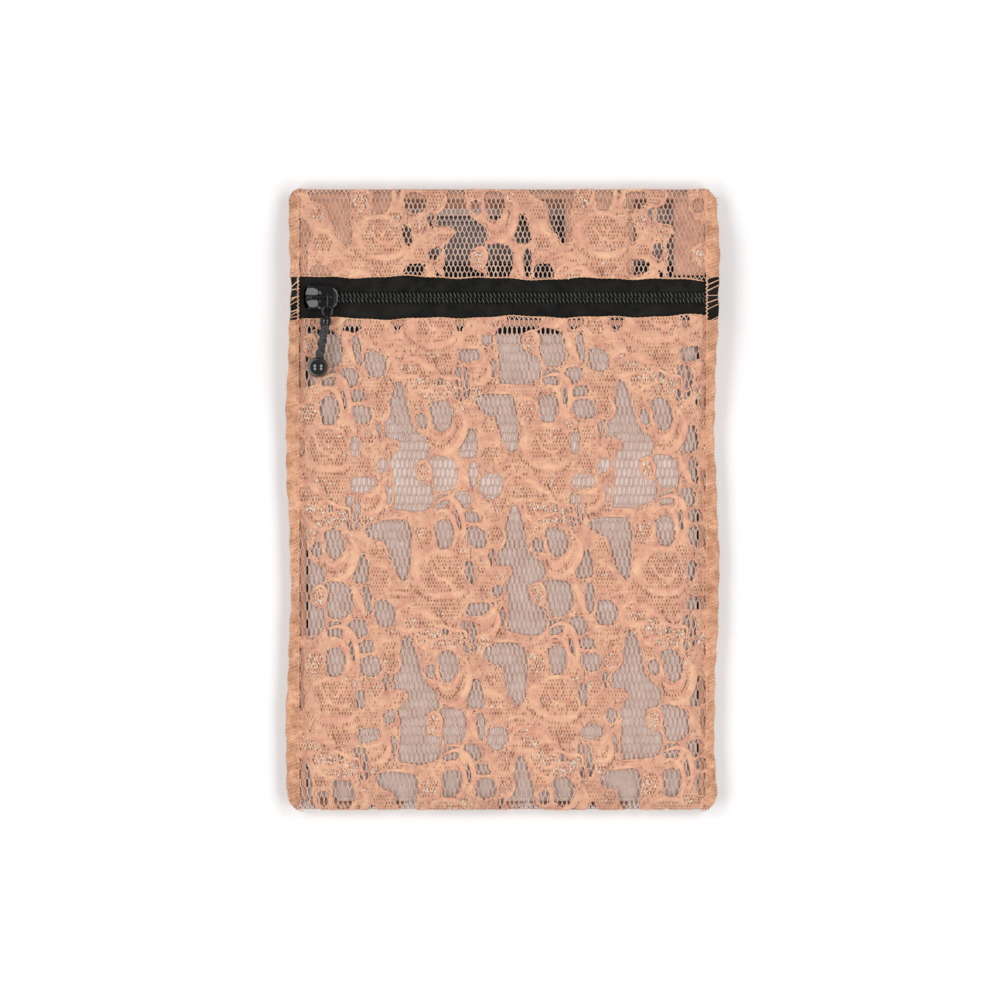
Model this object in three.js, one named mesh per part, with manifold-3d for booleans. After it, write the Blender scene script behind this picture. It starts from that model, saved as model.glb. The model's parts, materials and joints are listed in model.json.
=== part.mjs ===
// Insulin cooling case: a flat lace pouch with a zip across its front, round a gel-filled cooling liner.
// Millimetres, +Z up. The case lies on its back on Z = 0, X runs along the zip, Y towards the top fold.
import * as THREE from "three";
import { mergeVertices } from "three/addons/utils/BufferGeometryUtils.js";
import Module from "manifold-3d";

const wasm = await Module();
wasm.setup();

// Clearances
const GAP = 0.3;
const SLIDER_PLAY = 0.35;

// Lace cover
const CASE_WIDTH = 131.6;
const CASE_LENGTH = 190;
const FILLED_HEIGHT = 11.6;
const ZIP_HEIGHT = 10.5;
const SEAM_HEIGHT = 5;
const LACE_THICKNESS = 0.7;
const SEAM_WIDTH = 4.5;
const SEAM_THICKNESS = 2.4;
const CORNER_RADIUS = 4;
const FOLD_RADIUS = 1.4;
const BACK_FLATNESS = 1.85;
const ZIP_SEAM_DROP = 2.5;
const SHOULDER_LENGTH = 34;
const EDGE_EXPONENT = 16;
const ZIP_END_EXPONENT = 200;

// Zip
const ZIP_FROM_TOP = 33.7;
const ZIP_WINDOW = 12;
const TAPE_PAIR_WIDTH = 20.6;
const TAPE_THICKNESS = 0.6;
const TAPE_END_MARGIN = 1;
const TAPE_EASE = 1;
const CHAIN_WIDTH = 4.2;
const CHAIN_THICKNESS = 1.8;
const CHAIN_BELOW_TAPE = 0.2;
const CORD_WIDTH = 1;
const TOOTH_PITCH = 1.4;
const TOOTH_WIDTH = 0.42;
const TOOTH_SLANT = 0.5;
const TOOTH_MESH_DEPTH = 0.55;
const MOUTH_WIDTH = 76;

// Slider and puller
const SLIDER_LENGTH = 10.6;
const NOSE_FLARE = 1.4;
const PLATE_ROUNDING = 1.3;
const SLIDER_END_MARGIN = 0.4;
const PLATE_THICKNESS = 1;
const FLANGE_THICKNESS = 0.85;
const POST_LENGTH = 2.6;
const POST_WIDTH = 1.9;
const POST_SETBACK = 0.6;
const BRIDGE_WIRE_RADIUS = 0.45;
const BRIDGE_LENGTH = 7.4;
const BRIDGE_BEND = 1.2;
const LINK_WIRE_RADIUS = 0.3;
const LINK_SPAN = 2.6;
const LINK_FROM_BEND = 0.4;
const EYE_RADIUS = 1.45;
const EYE_WIRE_RADIUS = 0.45;
const FERRULE_LENGTH = 3;
const FERRULE_RADIUS = 1.75;
const FERRULE_NECK_RADIUS = 0.7;
const STEM_RADIUS = 1.4;
const STEM_STRAND_DEPTH = 0.3;
const STEM_STRANDS = 3;
const STEM_TURNS = 1.2;
const STEM_SEATING = 1.4;
const BALL_RADIUS = 3.2;
const PULLER_REACH = 17.4;
const PULLER_LEAN = THREE.MathUtils.degToRad(9.4);

// Cooling liner
const FABRIC = 0.3;
const GEL_THICKNESS = 1;
const GEL_EDGE = 0.2;
const CELL_COUNT = 5;
const SEWN_LINE = 1.5;
const CELL_SIDE_MARGIN = 5.7;
const CELL_END_MARGIN = 4;
const CELL_TAPER = 2;
const LINER_SIDE_MARGIN = 3.8;
const LINER_BOTTOM_MARGIN = 3.9;
const LINER_TOP_MARGIN = 5.4;
const LINER_FOLLOW = 0.5;
const BINDING_WIDTH = 2;
const BINDING_THICKNESS = 2.2;
const BINDING_CORNER = 0.8;
const BINDING_CORNER_MARGIN = 8;
const MOUTH_MARGIN = 0.7;
const PATCH_WIDTH = 40.4;
const PATCH_HEIGHT = 20;
const PATCH_OFFSET = -1.8;
const PATCH_THICKNESS = 0.4;
const PATCH_TOP_MARGIN = 0.5;
const CELL_EXPONENT = 4;

// Fineness of the facets
const EDGE_SHARES = [0, 0.45, 0.7, 0.82, 0.9, 0.95, 0.985, 1];
const SHOULDER_STEPS = 5;
const SLOPE_STEPS = 6;
const STRIP_STEPS = 12;
const STRIP_CORNER_STEPS = 3;
const FOLD_SIDES = 10;
const FLAP_STEPS = 4;
const WIRE_SIDES = 8;
const BEND_STEPS = 4;
const POST_STEPS = 3;
const LINK_STEPS = 8;
const EYE_STEPS = 16;
const FERRULE_SIDES = 12;
const STEM_SIDES = 12;
const STEM_STEPS = 16;
const BALL_SIDES = 18;
const BALL_STEPS = 11;
const REST_STEPS = 16;
const CELL_STEPS = 4;
const CELL_RISE_STEPS = 4;
const MOUTH_STEPS = 2;
const HEM_STEPS = 2;
const UPPER_LINER_STEPS = 3;
const PATCH_STEPS = 5;
const CAPSULE_STEPS = 3;
const ROUNDING = 0.001;

// Places worked out from the sizes above
const halfWidth = CASE_WIDTH / 2;
const halfLength = CASE_LENGTH / 2;
const panelHalf = halfWidth - SEAM_WIDTH - GAP;
const foldY = halfLength - FOLD_RADIUS;
const panelEnd = foldY - FOLD_RADIUS - GAP;
const zipY = halfLength - ZIP_FROM_TOP;
const tapeReach = TAPE_PAIR_WIDTH / 2;
const frontEdge = zipY - ZIP_WINDOW / 2;
const bandEdge = zipY + ZIP_WINDOW / 2;
const shoulderEnd = zipY - tapeReach - TAPE_EASE;
const shoulderStart = shoulderEnd - SHOULDER_LENGTH;
const bandSlopeStart = zipY + tapeReach + TAPE_EASE;
const mouthHalf = MOUTH_WIDTH / 2;
const tapeTop = ZIP_HEIGHT - LACE_THICKNESS - GAP;
const tapeBottom = tapeTop - TAPE_THICKNESS;
const tapeHalf = panelHalf - TAPE_END_MARGIN;
const chainBottom = tapeBottom - CHAIN_BELOW_TAPE;
const chainTop = chainBottom + CHAIN_THICKNESS;
const linerHalf = panelHalf - LINER_SIDE_MARGIN;
const linerBottom = -panelEnd + LINER_BOTTOM_MARGIN;
const linerTop = panelEnd - LINER_TOP_MARGIN;
const hemTop = zipY - tapeReach - MOUTH_MARGIN;
const linerMouth = hemTop - BINDING_WIDTH - GAP;
const cellBottom = linerBottom + CELL_END_MARGIN;
const cellTop = linerMouth - CELL_END_MARGIN;
const doubleFabric = 2 * FABRIC + GAP;
const cellSpan = 2 * (linerHalf - CELL_SIDE_MARGIN);
const cellWidth = (cellSpan - (CELL_COUNT - 1) * SEWN_LINE) / CELL_COUNT;
const cellSpacing = cellWidth + SEWN_LINE;

// Materials
const laceFinish = new THREE.MeshStandardMaterial({ color: 0xd99a83, roughness: 0.75, metalness: 0 });
const threadFinish = new THREE.MeshStandardMaterial({ color: 0xe0a58f, roughness: 0.7, metalness: 0 });
const tapeFinish = new THREE.MeshStandardMaterial({ color: 0x17171a, roughness: 0.85, metalness: 0 });
const toothFinish = new THREE.MeshStandardMaterial({ color: 0x1d1d20, roughness: 0.4, metalness: 0 });
const sliderFinish = new THREE.MeshStandardMaterial({ color: 0x101012, roughness: 0.2, metalness: 0.6 });
const stemFinish = new THREE.MeshStandardMaterial({ color: 0x1a1a1c, roughness: 0.6, metalness: 0 });
const ballFinish = new THREE.MeshStandardMaterial({ color: 0x0c0c0e, roughness: 0.08, metalness: 0 });
const linerFinish = new THREE.MeshStandardMaterial({ color: 0xe4dfe6, roughness: 0.8, metalness: 0 });
const gelFinish = new THREE.MeshStandardMaterial({ color: 0xcfdde6, roughness: 0.3, metalness: 0 });
const bindingFinish = new THREE.MeshStandardMaterial({ color: 0x1b1a1d, roughness: 0.85, metalness: 0 });
const patchFinish = new THREE.MeshStandardMaterial({ color: 0x3a3638, roughness: 0.8, metalness: 0 });

// Smooth rise from 0 to 1 between two places
function ease(value, from, to) {
  return THREE.MathUtils.smoothstep(value, from, to);
}

// Fullness across a filled panel: 1 in the middle, 0 at its edge
function fullness(distance, half, exponent) {
  return 1 - Math.min(1, Math.abs(distance / half)) ** exponent;
}

// Nearness to the zip along the length of the case: 1 along its tapes, 0 over the filled part and at the fold
function nearZip(y) {
  return ease(y, shoulderStart, shoulderEnd) * (1 - ease(y, bandSlopeStart, panelEnd));
}

// Level of the side seams, which rise to the ends of the zip
function seamLevel(y) {
  return SEAM_HEIGHT + (ZIP_HEIGHT - ZIP_SEAM_DROP - SEAM_HEIGHT) * nearZip(y);
}

// Level of the liner's bound edges, which rise part of the way with the seams
function linerLevel(y) {
  return SEAM_HEIGHT + LINER_FOLLOW * (seamLevel(y) - SEAM_HEIGHT);
}

// Top of the front lace along the middle of the case
function frontCrown(y) {
  const edge = SEAM_HEIGHT + GAP / 2 + LACE_THICKNESS;
  if (y < 0) {
    return edge + (FILLED_HEIGHT - edge) * fullness(y, panelEnd, EDGE_EXPONENT);
  }
  if (y < bandSlopeStart) {
    return FILLED_HEIGHT + (ZIP_HEIGHT - FILLED_HEIGHT) * ease(y, shoulderStart, shoulderEnd);
  }
  const along = Math.min(1, (y - bandSlopeStart) / (panelEnd - bandSlopeStart));
  return edge + (ZIP_HEIGHT - edge) * Math.cos((along * Math.PI) / 2);
}

// The front's side edges are rounded over the liner and almost square at the zip, which lies level
function frontExponent(y) {
  return EDGE_EXPONENT * (ZIP_END_EXPONENT / EDGE_EXPONENT) ** nearZip(y);
}

// Surfaces of the two lace layers
function frontTop(x, y) {
  const edge = Math.min(frontCrown(y), seamLevel(y) + GAP / 2 + LACE_THICKNESS);
  return edge + (frontCrown(y) - edge) * fullness(x, panelHalf, frontExponent(y));
}
function frontUnder(x, y) {
  return frontTop(x, y) - LACE_THICKNESS;
}
function backUnder(x, y) {
  const edge = seamLevel(y) - GAP / 2 - LACE_THICKNESS;
  const full = fullness(x, panelHalf, EDGE_EXPONENT) * fullness(y, panelEnd, EDGE_EXPONENT);
  return Math.max(0, edge - (edge + BACK_FLATNESS) * full);
}
function backTop(x, y) {
  return backUnder(x, y) + LACE_THICKNESS;
}

// Fullness of the liner, pinched together at its sides and bottom
function linerFullness(x, y) {
  const across = fullness(x, linerHalf, EDGE_EXPONENT);
  return y < 0 ? across * fullness(y, linerBottom, EDGE_EXPONENT) : across;
}

// Thickness of the gel in the sewn channels: swollen in the middle of each channel, none on the sewn lines
function gelDepth(x, y) {
  if (y < cellBottom || y > cellTop) {
    return 0;
  }
  const nearest = Math.round(x / cellSpacing + (CELL_COUNT - 1) / 2);
  const index = THREE.MathUtils.clamp(nearest, 0, CELL_COUNT - 1);
  const offset = (x - cellCentre(index)) / (cellWidth / 2);
  if (Math.abs(offset) > 1 + ROUNDING) {
    return 0;
  }
  return GEL_EDGE + (GEL_THICKNESS - GEL_EDGE) * (1 - offset ** CELL_EXPONENT);
}
function cellCentre(index) {
  return (index - (CELL_COUNT - 1) / 2) * cellSpacing;
}

// Room that the inner fabric leaves for the gel
function gelRoom(x, y) {
  const depth = gelDepth(x, y);
  return depth > 0 ? depth + GAP : 0;
}

// Surfaces of the liner's fabrics, stacked inward from the lace
function frontOuterTop(x, y) {
  const pinch = Math.min(frontUnder(0, y) - GAP, linerLevel(y) + GAP / 2 + doubleFabric);
  return pinch + (frontUnder(0, y) - GAP - pinch) * linerFullness(x, y);
}
function frontInnerTop(x, y) {
  return frontOuterTop(x, y) - FABRIC - GAP - gelRoom(x, y);
}
function backOuterUnder(x, y) {
  const pinch = linerLevel(y) - GAP / 2 - doubleFabric;
  const swollen = pinch + (LACE_THICKNESS + GAP - pinch) * linerFullness(x, y);
  return Math.max(swollen, backTop(x, y) + GAP);
}
function backInnerUnder(x, y) {
  return backOuterUnder(x, y) + FABRIC + GAP + gelRoom(x, y);
}

// Evenly spaced stations between two places
function evenly(from, to, steps) {
  return Array.from({ length: steps + 1 }, (_, i) => from + ((to - from) * i) / steps);
}

// Stations across a panel, closer together near its rounded edges
function crowded(half) {
  const right = EDGE_SHARES.map((share) => share * half);
  const left = right.slice(1).map((x) => -x);
  return [...left.reverse(), ...right];
}

// Closed sheet between two surfaces over a grid of stations
function sheet(xs, ys, under, top) {
  const points = [];
  for (const surface of [top, under]) {
    for (const y of ys) {
      for (const x of xs) {
        points.push(x, y, surface(x, y));
      }
    }
  }
  const columns = xs.length;
  const layer = columns * ys.length;
  const faces = [];
  const quad = (a, b, c, d) => faces.push(a, b, c, a, c, d);
  for (let j = 0; j + 1 < ys.length; j += 1) {
    for (let i = 0; i + 1 < columns; i += 1) {
      const a = j * columns + i;
      quad(a, a + 1, a + columns + 1, a + columns);
      quad(layer + a, layer + a + columns, layer + a + columns + 1, layer + a + 1);
    }
  }
  const last = layer - columns;
  for (let i = 0; i + 1 < columns; i += 1) {
    quad(layer + i, layer + i + 1, i + 1, i);
    quad(last + i, last + i + 1, layer + last + i + 1, layer + last + i);
  }
  for (let j = 0; j + 1 < ys.length; j += 1) {
    const west = j * columns;
    const east = west + columns - 1;
    quad(west, west + columns, layer + west + columns, layer + west);
    quad(layer + east, layer + east + columns, east + columns, east);
  }
  const geometry = new THREE.BufferGeometry();
  geometry.setAttribute("position", new THREE.Float32BufferAttribute(points, 3));
  geometry.setIndex(faces);
  return geometry;
}

// Joining of closed geometries
function toSolid(geometry) {
  const bare = geometry.clone();
  bare.deleteAttribute("normal");
  bare.deleteAttribute("uv");
  const merged = mergeVertices(bare);
  const vertProperties = new Float32Array(merged.attributes.position.array);
  const triVerts = new Uint32Array(merged.index.array);
  return new wasm.Manifold(new wasm.Mesh({ numProp: 3, vertProperties, triVerts }));
}
function joined(...geometries) {
  const whole = geometries.map(toSolid).reduce((sum, next) => sum.add(next));
  const { vertProperties, triVerts } = whole.getMesh();
  const geometry = new THREE.BufferGeometry();
  geometry.setAttribute("position", new THREE.Float32BufferAttribute(vertProperties, 3));
  geometry.setIndex(Array.from(triVerts));
  return geometry;
}

// Closed skin over rings of points, with flat caps or joined end to start
function skin(rings, closed) {
  const sides = rings[0].length;
  const points = rings.flat().flatMap((point) => [point.x, point.y, point.z]);
  const faces = [];
  const spans = closed ? rings.length : rings.length - 1;
  for (let r = 0; r < spans; r += 1) {
    const here = r * sides;
    const next = ((r + 1) % rings.length) * sides;
    for (let s = 0; s < sides; s += 1) {
      const t = (s + 1) % sides;
      faces.push(here + s, here + t, next + t, here + s, next + t, next + s);
    }
  }
  if (!closed) {
    const far = (rings.length - 1) * sides;
    for (let s = 1; s + 1 < sides; s += 1) {
      faces.push(0, s + 1, s, far, far + s, far + s + 1);
    }
  }
  const geometry = new THREE.BufferGeometry();
  geometry.setAttribute("position", new THREE.Float32BufferAttribute(points, 3));
  geometry.setIndex(faces);
  return geometry;
}

// Strip along a side of the case at a given level, with its outer corners and its long edges rounded
function sideStrip(inner, outer, from, to, radius, thickness, level) {
  const corner = evenly(0, Math.PI / 2, STRIP_CORNER_STEPS).map((angle) => radius * (1 - Math.cos(angle)));
  const straight = evenly(from + radius, to - radius, STRIP_STEPS).slice(1, -1);
  const ys = [...corner.map((d) => from + d), ...straight, ...corner.map((d) => to - d).reverse()];
  const rings = ys.map((y) => {
    const fromEnd = Math.min(radius, y - from, to - y);
    const drawnIn = radius - Math.sqrt(radius ** 2 - (radius - fromEnd) ** 2);
    const edge = outer - Math.sign(outer) * drawnIn;
    const east = Math.max(inner, edge);
    const west = Math.min(inner, edge);
    const bevel = Math.min(thickness, east - west) / 4;
    const top = level(y) + thickness / 2;
    const under = level(y) - thickness / 2;
    const at = (x, z) => new THREE.Vector3(x, y, z);
    return [
      at(east, top - bevel), at(east, under + bevel), at(east - bevel, under), at(west + bevel, under),
      at(west, under + bevel), at(west, top - bevel), at(west + bevel, top), at(east - bevel, top),
    ];
  });
  return skin(rings, false);
}

const coolingCase = new THREE.Group();
coolingCase.name = "insulin_cooling_case";

function add(name, geometry, material, parent = coolingCase) {
  geometry.computeVertexNormals();
  const mesh = new THREE.Mesh(geometry, material);
  mesh.name = name;
  parent.add(mesh);
  return mesh;
}

// Stations along the length that both lace layers share
const lowerStations = crowded(panelEnd).filter((y) => y <= 0);
const shoulderStations = evenly(shoulderStart, shoulderEnd, SHOULDER_STEPS);
const slopeStations = evenly(bandSlopeStart, panelEnd, SLOPE_STEPS);

// Back lace panel with the rolled folds at the top and bottom of the case
function backPanel() {
  const ys = [-foldY, ...lowerStations, ...shoulderStations, ...slopeStations, foldY];
  const panel = sheet(crowded(panelHalf), ys, backUnder, backTop);
  const roll = new THREE.CylinderGeometry(FOLD_RADIUS, FOLD_RADIUS, 2 * panelHalf, FOLD_SIDES);
  const fold = roll.rotateZ(Math.PI / 2);
  const topFold = fold.clone().translate(0, foldY, SEAM_HEIGHT);
  const bottomFold = fold.clone().translate(0, -foldY, SEAM_HEIGHT);
  return joined(panel, topFold, bottomFold);
}

// Front lace panel, from the bottom fold to the zip
function frontPanel() {
  const ys = [...lowerStations, ...shoulderStations, frontEdge];
  return sheet(crowded(panelHalf), ys, frontUnder, frontTop);
}

// Band above the zip between two places along X
function band(xs) {
  return sheet(xs, [bandEdge, ...slopeStations], frontUnder, frontTop);
}
function bandEnd(side) {
  const inner = mouthHalf + GAP / 2;
  const stations = crowded(panelHalf).filter((x) => x > inner);
  const outward = [inner, ...stations];
  return band(side > 0 ? outward : outward.map((x) => -x).reverse());
}

// Overlocked side seam
function sideSeam(side) {
  const inner = side * (halfWidth - SEAM_WIDTH);
  return sideStrip(inner, side * halfWidth, -halfLength, halfLength, CORNER_RADIUS, SEAM_THICKNESS, seamLevel);
}

// Half of the zip tape between two places along X; side is -1 below the chain and 1 above it
function tape(side, from, to) {
  const inner = CHAIN_WIDTH / 2 + GAP;
  const width = tapeReach - inner;
  const strip = new THREE.BoxGeometry(to - from, width, TAPE_THICKNESS);
  return strip.translate((from + to) / 2, zipY + side * (inner + width / 2), (tapeTop + tapeBottom) / 2);
}

// Row of slanted teeth on its cord: the outline of a comb, extruded
function teeth(side, from, to) {
  const cordOuter = CHAIN_WIDTH / 2;
  const cordInner = cordOuter - CORD_WIDTH;
  const phase = side > 0 ? TOOTH_PITCH / 2 : 0;
  const shape = new THREE.Shape();
  const first = Math.ceil((from - phase + TOOTH_SLANT) / TOOTH_PITCH);
  const last = Math.floor((to - phase - TOOTH_SLANT - TOOTH_WIDTH) / TOOTH_PITCH);
  shape.moveTo(from, -cordOuter);
  shape.lineTo(to, -cordOuter);
  shape.lineTo(to, -cordInner);
  for (let i = last; i >= first; i -= 1) {
    const x = i * TOOTH_PITCH + phase;
    const left = x - TOOTH_WIDTH / 2;
    const right = x + TOOTH_WIDTH / 2;
    shape.lineTo(right - TOOTH_SLANT, -cordInner);
    shape.lineTo(right, -TOOTH_MESH_DEPTH);
    shape.lineTo(right, TOOTH_MESH_DEPTH);
    shape.lineTo(left, TOOTH_MESH_DEPTH);
    shape.lineTo(left, -TOOTH_MESH_DEPTH);
    shape.lineTo(left - TOOTH_SLANT, -cordInner);
  }
  shape.lineTo(from, -cordInner);
  shape.closePath();
  const row = new THREE.ExtrudeGeometry(shape, { depth: CHAIN_THICKNESS, bevelEnabled: false });
  if (side > 0) {
    row.scale(1, -1, 1);
    flip(row);
  }
  return row.translate(0, zipY, chainBottom);
}

// A mirrored geometry has its triangles turned the right way round again
function flip(geometry) {
  const { array } = geometry.attributes.position;
  for (let i = 0; i < array.length; i += 9) {
    for (let k = 0; k < 3; k += 1) {
      const held = array[i + 3 + k];
      array[i + 3 + k] = array[i + 6 + k];
      array[i + 6 + k] = held;
    }
  }
}

// Slider: two tapered plates joined by a post at the nose, side flanges and a wire bridge on top
const upperPlate = chainTop + SLIDER_PLAY;
const lowerPlate = chainBottom - SLIDER_PLAY - PLATE_THICKNESS;
const plateTop = upperPlate + PLATE_THICKNESS;
const flangeBottom = tapeTop + SLIDER_PLAY;
const linkRadius = BRIDGE_WIRE_RADIUS + GAP + LINK_WIRE_RADIUS;
const bridgeZ = plateTop + GAP + LINK_WIRE_RADIUS + linkRadius;
const tailHalf = CHAIN_WIDTH / 2 + SLIDER_PLAY + FLANGE_THICKNESS;
const noseHalf = tailHalf + NOSE_FLARE / 2;
const sliderX = -tapeHalf - SLIDER_END_MARGIN + SLIDER_LENGTH / 2;

function plateOutline() {
  const half = SLIDER_LENGTH / 2;
  const nose = noseHalf;
  const tail = tailHalf;
  const round = PLATE_ROUNDING;
  const shape = new THREE.Shape();
  shape.moveTo(-half + round, -nose);
  shape.lineTo(half - round, -tail);
  shape.quadraticCurveTo(half, -tail, half, -tail + round);
  shape.lineTo(half, tail - round);
  shape.quadraticCurveTo(half, tail, half - round, tail);
  shape.lineTo(-half + round, nose);
  shape.quadraticCurveTo(-half, nose, -half, nose - round);
  shape.lineTo(-half, -nose + round);
  shape.quadraticCurveTo(-half, -nose, -half + round, -nose);
  return shape;
}

function flange(side) {
  const half = SLIDER_LENGTH / 2 - PLATE_ROUNDING;
  const corners = [
    new THREE.Vector2(-half, side * (noseHalf - FLANGE_THICKNESS)),
    new THREE.Vector2(half, side * (tailHalf - FLANGE_THICKNESS)),
    new THREE.Vector2(half, side * tailHalf),
    new THREE.Vector2(-half, side * noseHalf),
  ];
  const shape = new THREE.Shape(corners);
  const depth = upperPlate + PLATE_THICKNESS / 2 - flangeBottom;
  return new THREE.ExtrudeGeometry(shape, { depth, bevelEnabled: false }).translate(0, 0, flangeBottom);
}

function sliderPost() {
  const front = -SLIDER_LENGTH / 2 + POST_SETBACK;
  const shape = new THREE.Shape();
  shape.moveTo(front, 0);
  shape.quadraticCurveTo(front, -POST_WIDTH / 2, front + POST_LENGTH / 3, -POST_WIDTH / 2);
  shape.lineTo(front + POST_LENGTH, 0);
  shape.lineTo(front + POST_LENGTH / 3, POST_WIDTH / 2);
  shape.quadraticCurveTo(front, POST_WIDTH / 2, front, 0);
  const from = lowerPlate + PLATE_THICKNESS / 2;
  const depth = upperPlate + PLATE_THICKNESS / 2 - from;
  const options = { depth, bevelEnabled: false, curveSegments: POST_STEPS };
  return new THREE.ExtrudeGeometry(shape, options).translate(0, 0, from);
}

function bridge() {
  const half = BRIDGE_LENGTH / 2;
  const foot = plateTop - PLATE_THICKNESS / 2;
  const at = (x, z) => new THREE.Vector3(x, 0, z);
  const path = new THREE.CurvePath();
  path.add(new THREE.LineCurve3(at(-half, foot), at(-half, bridgeZ - BRIDGE_BEND)));
  path.add(new THREE.QuadraticBezierCurve3(
    at(-half, bridgeZ - BRIDGE_BEND), at(-half, bridgeZ), at(-half + BRIDGE_BEND, bridgeZ)));
  path.add(new THREE.LineCurve3(at(-half + BRIDGE_BEND, bridgeZ), at(half - BRIDGE_BEND, bridgeZ)));
  path.add(new THREE.QuadraticBezierCurve3(
    at(half - BRIDGE_BEND, bridgeZ), at(half, bridgeZ), at(half, bridgeZ - BRIDGE_BEND)));
  path.add(new THREE.LineCurve3(at(half, bridgeZ - BRIDGE_BEND), at(half, foot)));
  return wireAlong(path.getPoints(BEND_STEPS), BRIDGE_WIRE_RADIUS, new THREE.Vector3(0, 1, 0), false);
}

// Round wire along a flat run of points; normal is square to the plane of the run
function wireAlong(run, radius, normal, closed) {
  const count = run.length;
  const rings = run.map((point, i) => {
    const before = closed ? run[(i + count - 1) % count] : run[Math.max(0, i - 1)];
    const after = closed ? run[(i + 1) % count] : run[Math.min(count - 1, i + 1)];
    const along = after.clone().sub(before).normalize();
    const outward = normal.clone().cross(along);
    return Array.from({ length: WIRE_SIDES }, (_, s) => {
      const angle = (2 * Math.PI * (s + 0.5)) / WIRE_SIDES;
      const offset = outward.clone().multiplyScalar(radius * Math.cos(angle));
      offset.addScaledVector(normal, radius * Math.sin(angle));
      return point.clone().add(offset);
    });
  });
  return skin(rings, closed);
}

function sliderBody() {
  const plate = (bottom) => {
    const options = { depth: PLATE_THICKNESS, bevelEnabled: false, curveSegments: BEND_STEPS };
    return new THREE.ExtrudeGeometry(plateOutline(), options).translate(0, 0, bottom);
  };
  return joined(plate(upperPlate), plate(lowerPlate), flange(-1), flange(1), sliderPost(), bridge());
}

// Long wire link: round the bridge at one end and through the puller's eye at the other
function wireLink() {
  const at = (angle, y) => new THREE.Vector3(0, y + linkRadius * Math.sin(angle), linkRadius * Math.cos(angle));
  const nearEnd = evenly(0, Math.PI, LINK_STEPS).map((angle) => at(angle, 0));
  const farEnd = evenly(Math.PI, 2 * Math.PI, LINK_STEPS).map((angle) => at(angle, -LINK_SPAN));
  return wireAlong([...nearEnd, ...farEnd], LINK_WIRE_RADIUS, new THREE.Vector3(1, 0, 0), true);
}

// Puller: the eye with its ferrule, the rope-like stem and the ball, along -Y from the link's far wire
const eyeHole = EYE_RADIUS - EYE_WIRE_RADIUS;
const eyeY = LINK_WIRE_RADIUS + GAP - eyeHole;
const ferruleTop = eyeY - EYE_RADIUS;
const ferruleEnd = ferruleTop - FERRULE_LENGTH;
const ballY = eyeY - PULLER_REACH;
const ballBoreRadius = STEM_RADIUS + GAP;
const stemFrom = ferruleEnd + STEM_SEATING;
const stemTo = ballY + Math.sqrt(BALL_RADIUS ** 2 - ballBoreRadius ** 2) - STEM_SEATING;

function pullerEye() {
  const eye = new THREE.TorusGeometry(EYE_RADIUS, EYE_WIRE_RADIUS, WIRE_SIDES, EYE_STEPS).translate(0, eyeY, 0);
  const socket = STEM_RADIUS + GAP / 2;
  const floor = stemFrom + GAP;
  const profile = [
    new THREE.Vector2(0, floor),
    new THREE.Vector2(socket, floor),
    new THREE.Vector2(socket, ferruleEnd),
    new THREE.Vector2(FERRULE_RADIUS, ferruleEnd),
    new THREE.Vector2(FERRULE_RADIUS, floor),
    new THREE.Vector2(FERRULE_NECK_RADIUS, ferruleTop - EYE_WIRE_RADIUS),
    new THREE.Vector2(FERRULE_NECK_RADIUS, ferruleTop),
    new THREE.Vector2(0, ferruleTop),
  ];
  return joined(eye, new THREE.LatheGeometry(profile, FERRULE_SIDES));
}

function pullerStem() {
  const rings = evenly(0, 1, STEM_STEPS).map((share) => {
    const y = stemFrom + (stemTo - stemFrom) * share;
    return Array.from({ length: STEM_SIDES }, (_, s) => {
      const angle = (2 * Math.PI * s) / STEM_SIDES;
      const strand = Math.cos(STEM_STRANDS * (angle - 2 * Math.PI * STEM_TURNS * share));
      const radius = STEM_RADIUS - (STEM_STRAND_DEPTH * (1 - strand)) / 2;
      return new THREE.Vector3(radius * Math.cos(angle), y, radius * Math.sin(angle));
    });
  });
  return skin(rings, false);
}

function pullerBall() {
  const boreFloor = stemTo - GAP;
  const rim = Math.asin(ballBoreRadius / BALL_RADIUS);
  const profile = [];
  for (const angle of evenly(Math.PI, rim, BALL_STEPS)) {
    profile.push(new THREE.Vector2(BALL_RADIUS * Math.sin(angle), ballY + BALL_RADIUS * Math.cos(angle)));
  }
  profile[0].x = 0;
  profile.push(new THREE.Vector2(ballBoreRadius, boreFloor));
  profile.push(new THREE.Vector2(0, boreFloor));
  return new THREE.LatheGeometry(profile, BALL_SIDES);
}

// The puller lies with its ball just over the lace in front of the zip
function restTilt() {
  const reach = LINK_SPAN + linkRadius - ballY;
  const y = zipY - reach;
  const heights = evenly(-1, 1, REST_STEPS).map((share) => {
    const lace = frontTop(0, y + share * BALL_RADIUS);
    return lace + BALL_RADIUS * Math.sqrt(1 - share * share);
  });
  return Math.asin((Math.max(...heights) + GAP - bridgeZ) / reach);
}

// Liner fabrics: stations follow the sewn channels so that the inner fabric dips between them
const channelStations = [];
for (let index = 0; index < CELL_COUNT; index += 1) {
  const centre = cellCentre(index);
  channelStations.push(...evenly(centre - cellWidth / 2, centre + cellWidth / 2, CELL_STEPS));
}
for (let index = 0; index + 1 < CELL_COUNT; index += 1) {
  channelStations.push((cellCentre(index) + cellCentre(index + 1)) / 2);
}
const lastCellEdge = cellCentre(CELL_COUNT - 1) + cellWidth / 2;
const edgeStations = evenly(lastCellEdge + CELL_TAPER, linerHalf, HEM_STEPS);
channelStations.push(...edgeStations, ...edgeStations.map((x) => -x));
channelStations.sort((a, b) => a - b);

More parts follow.
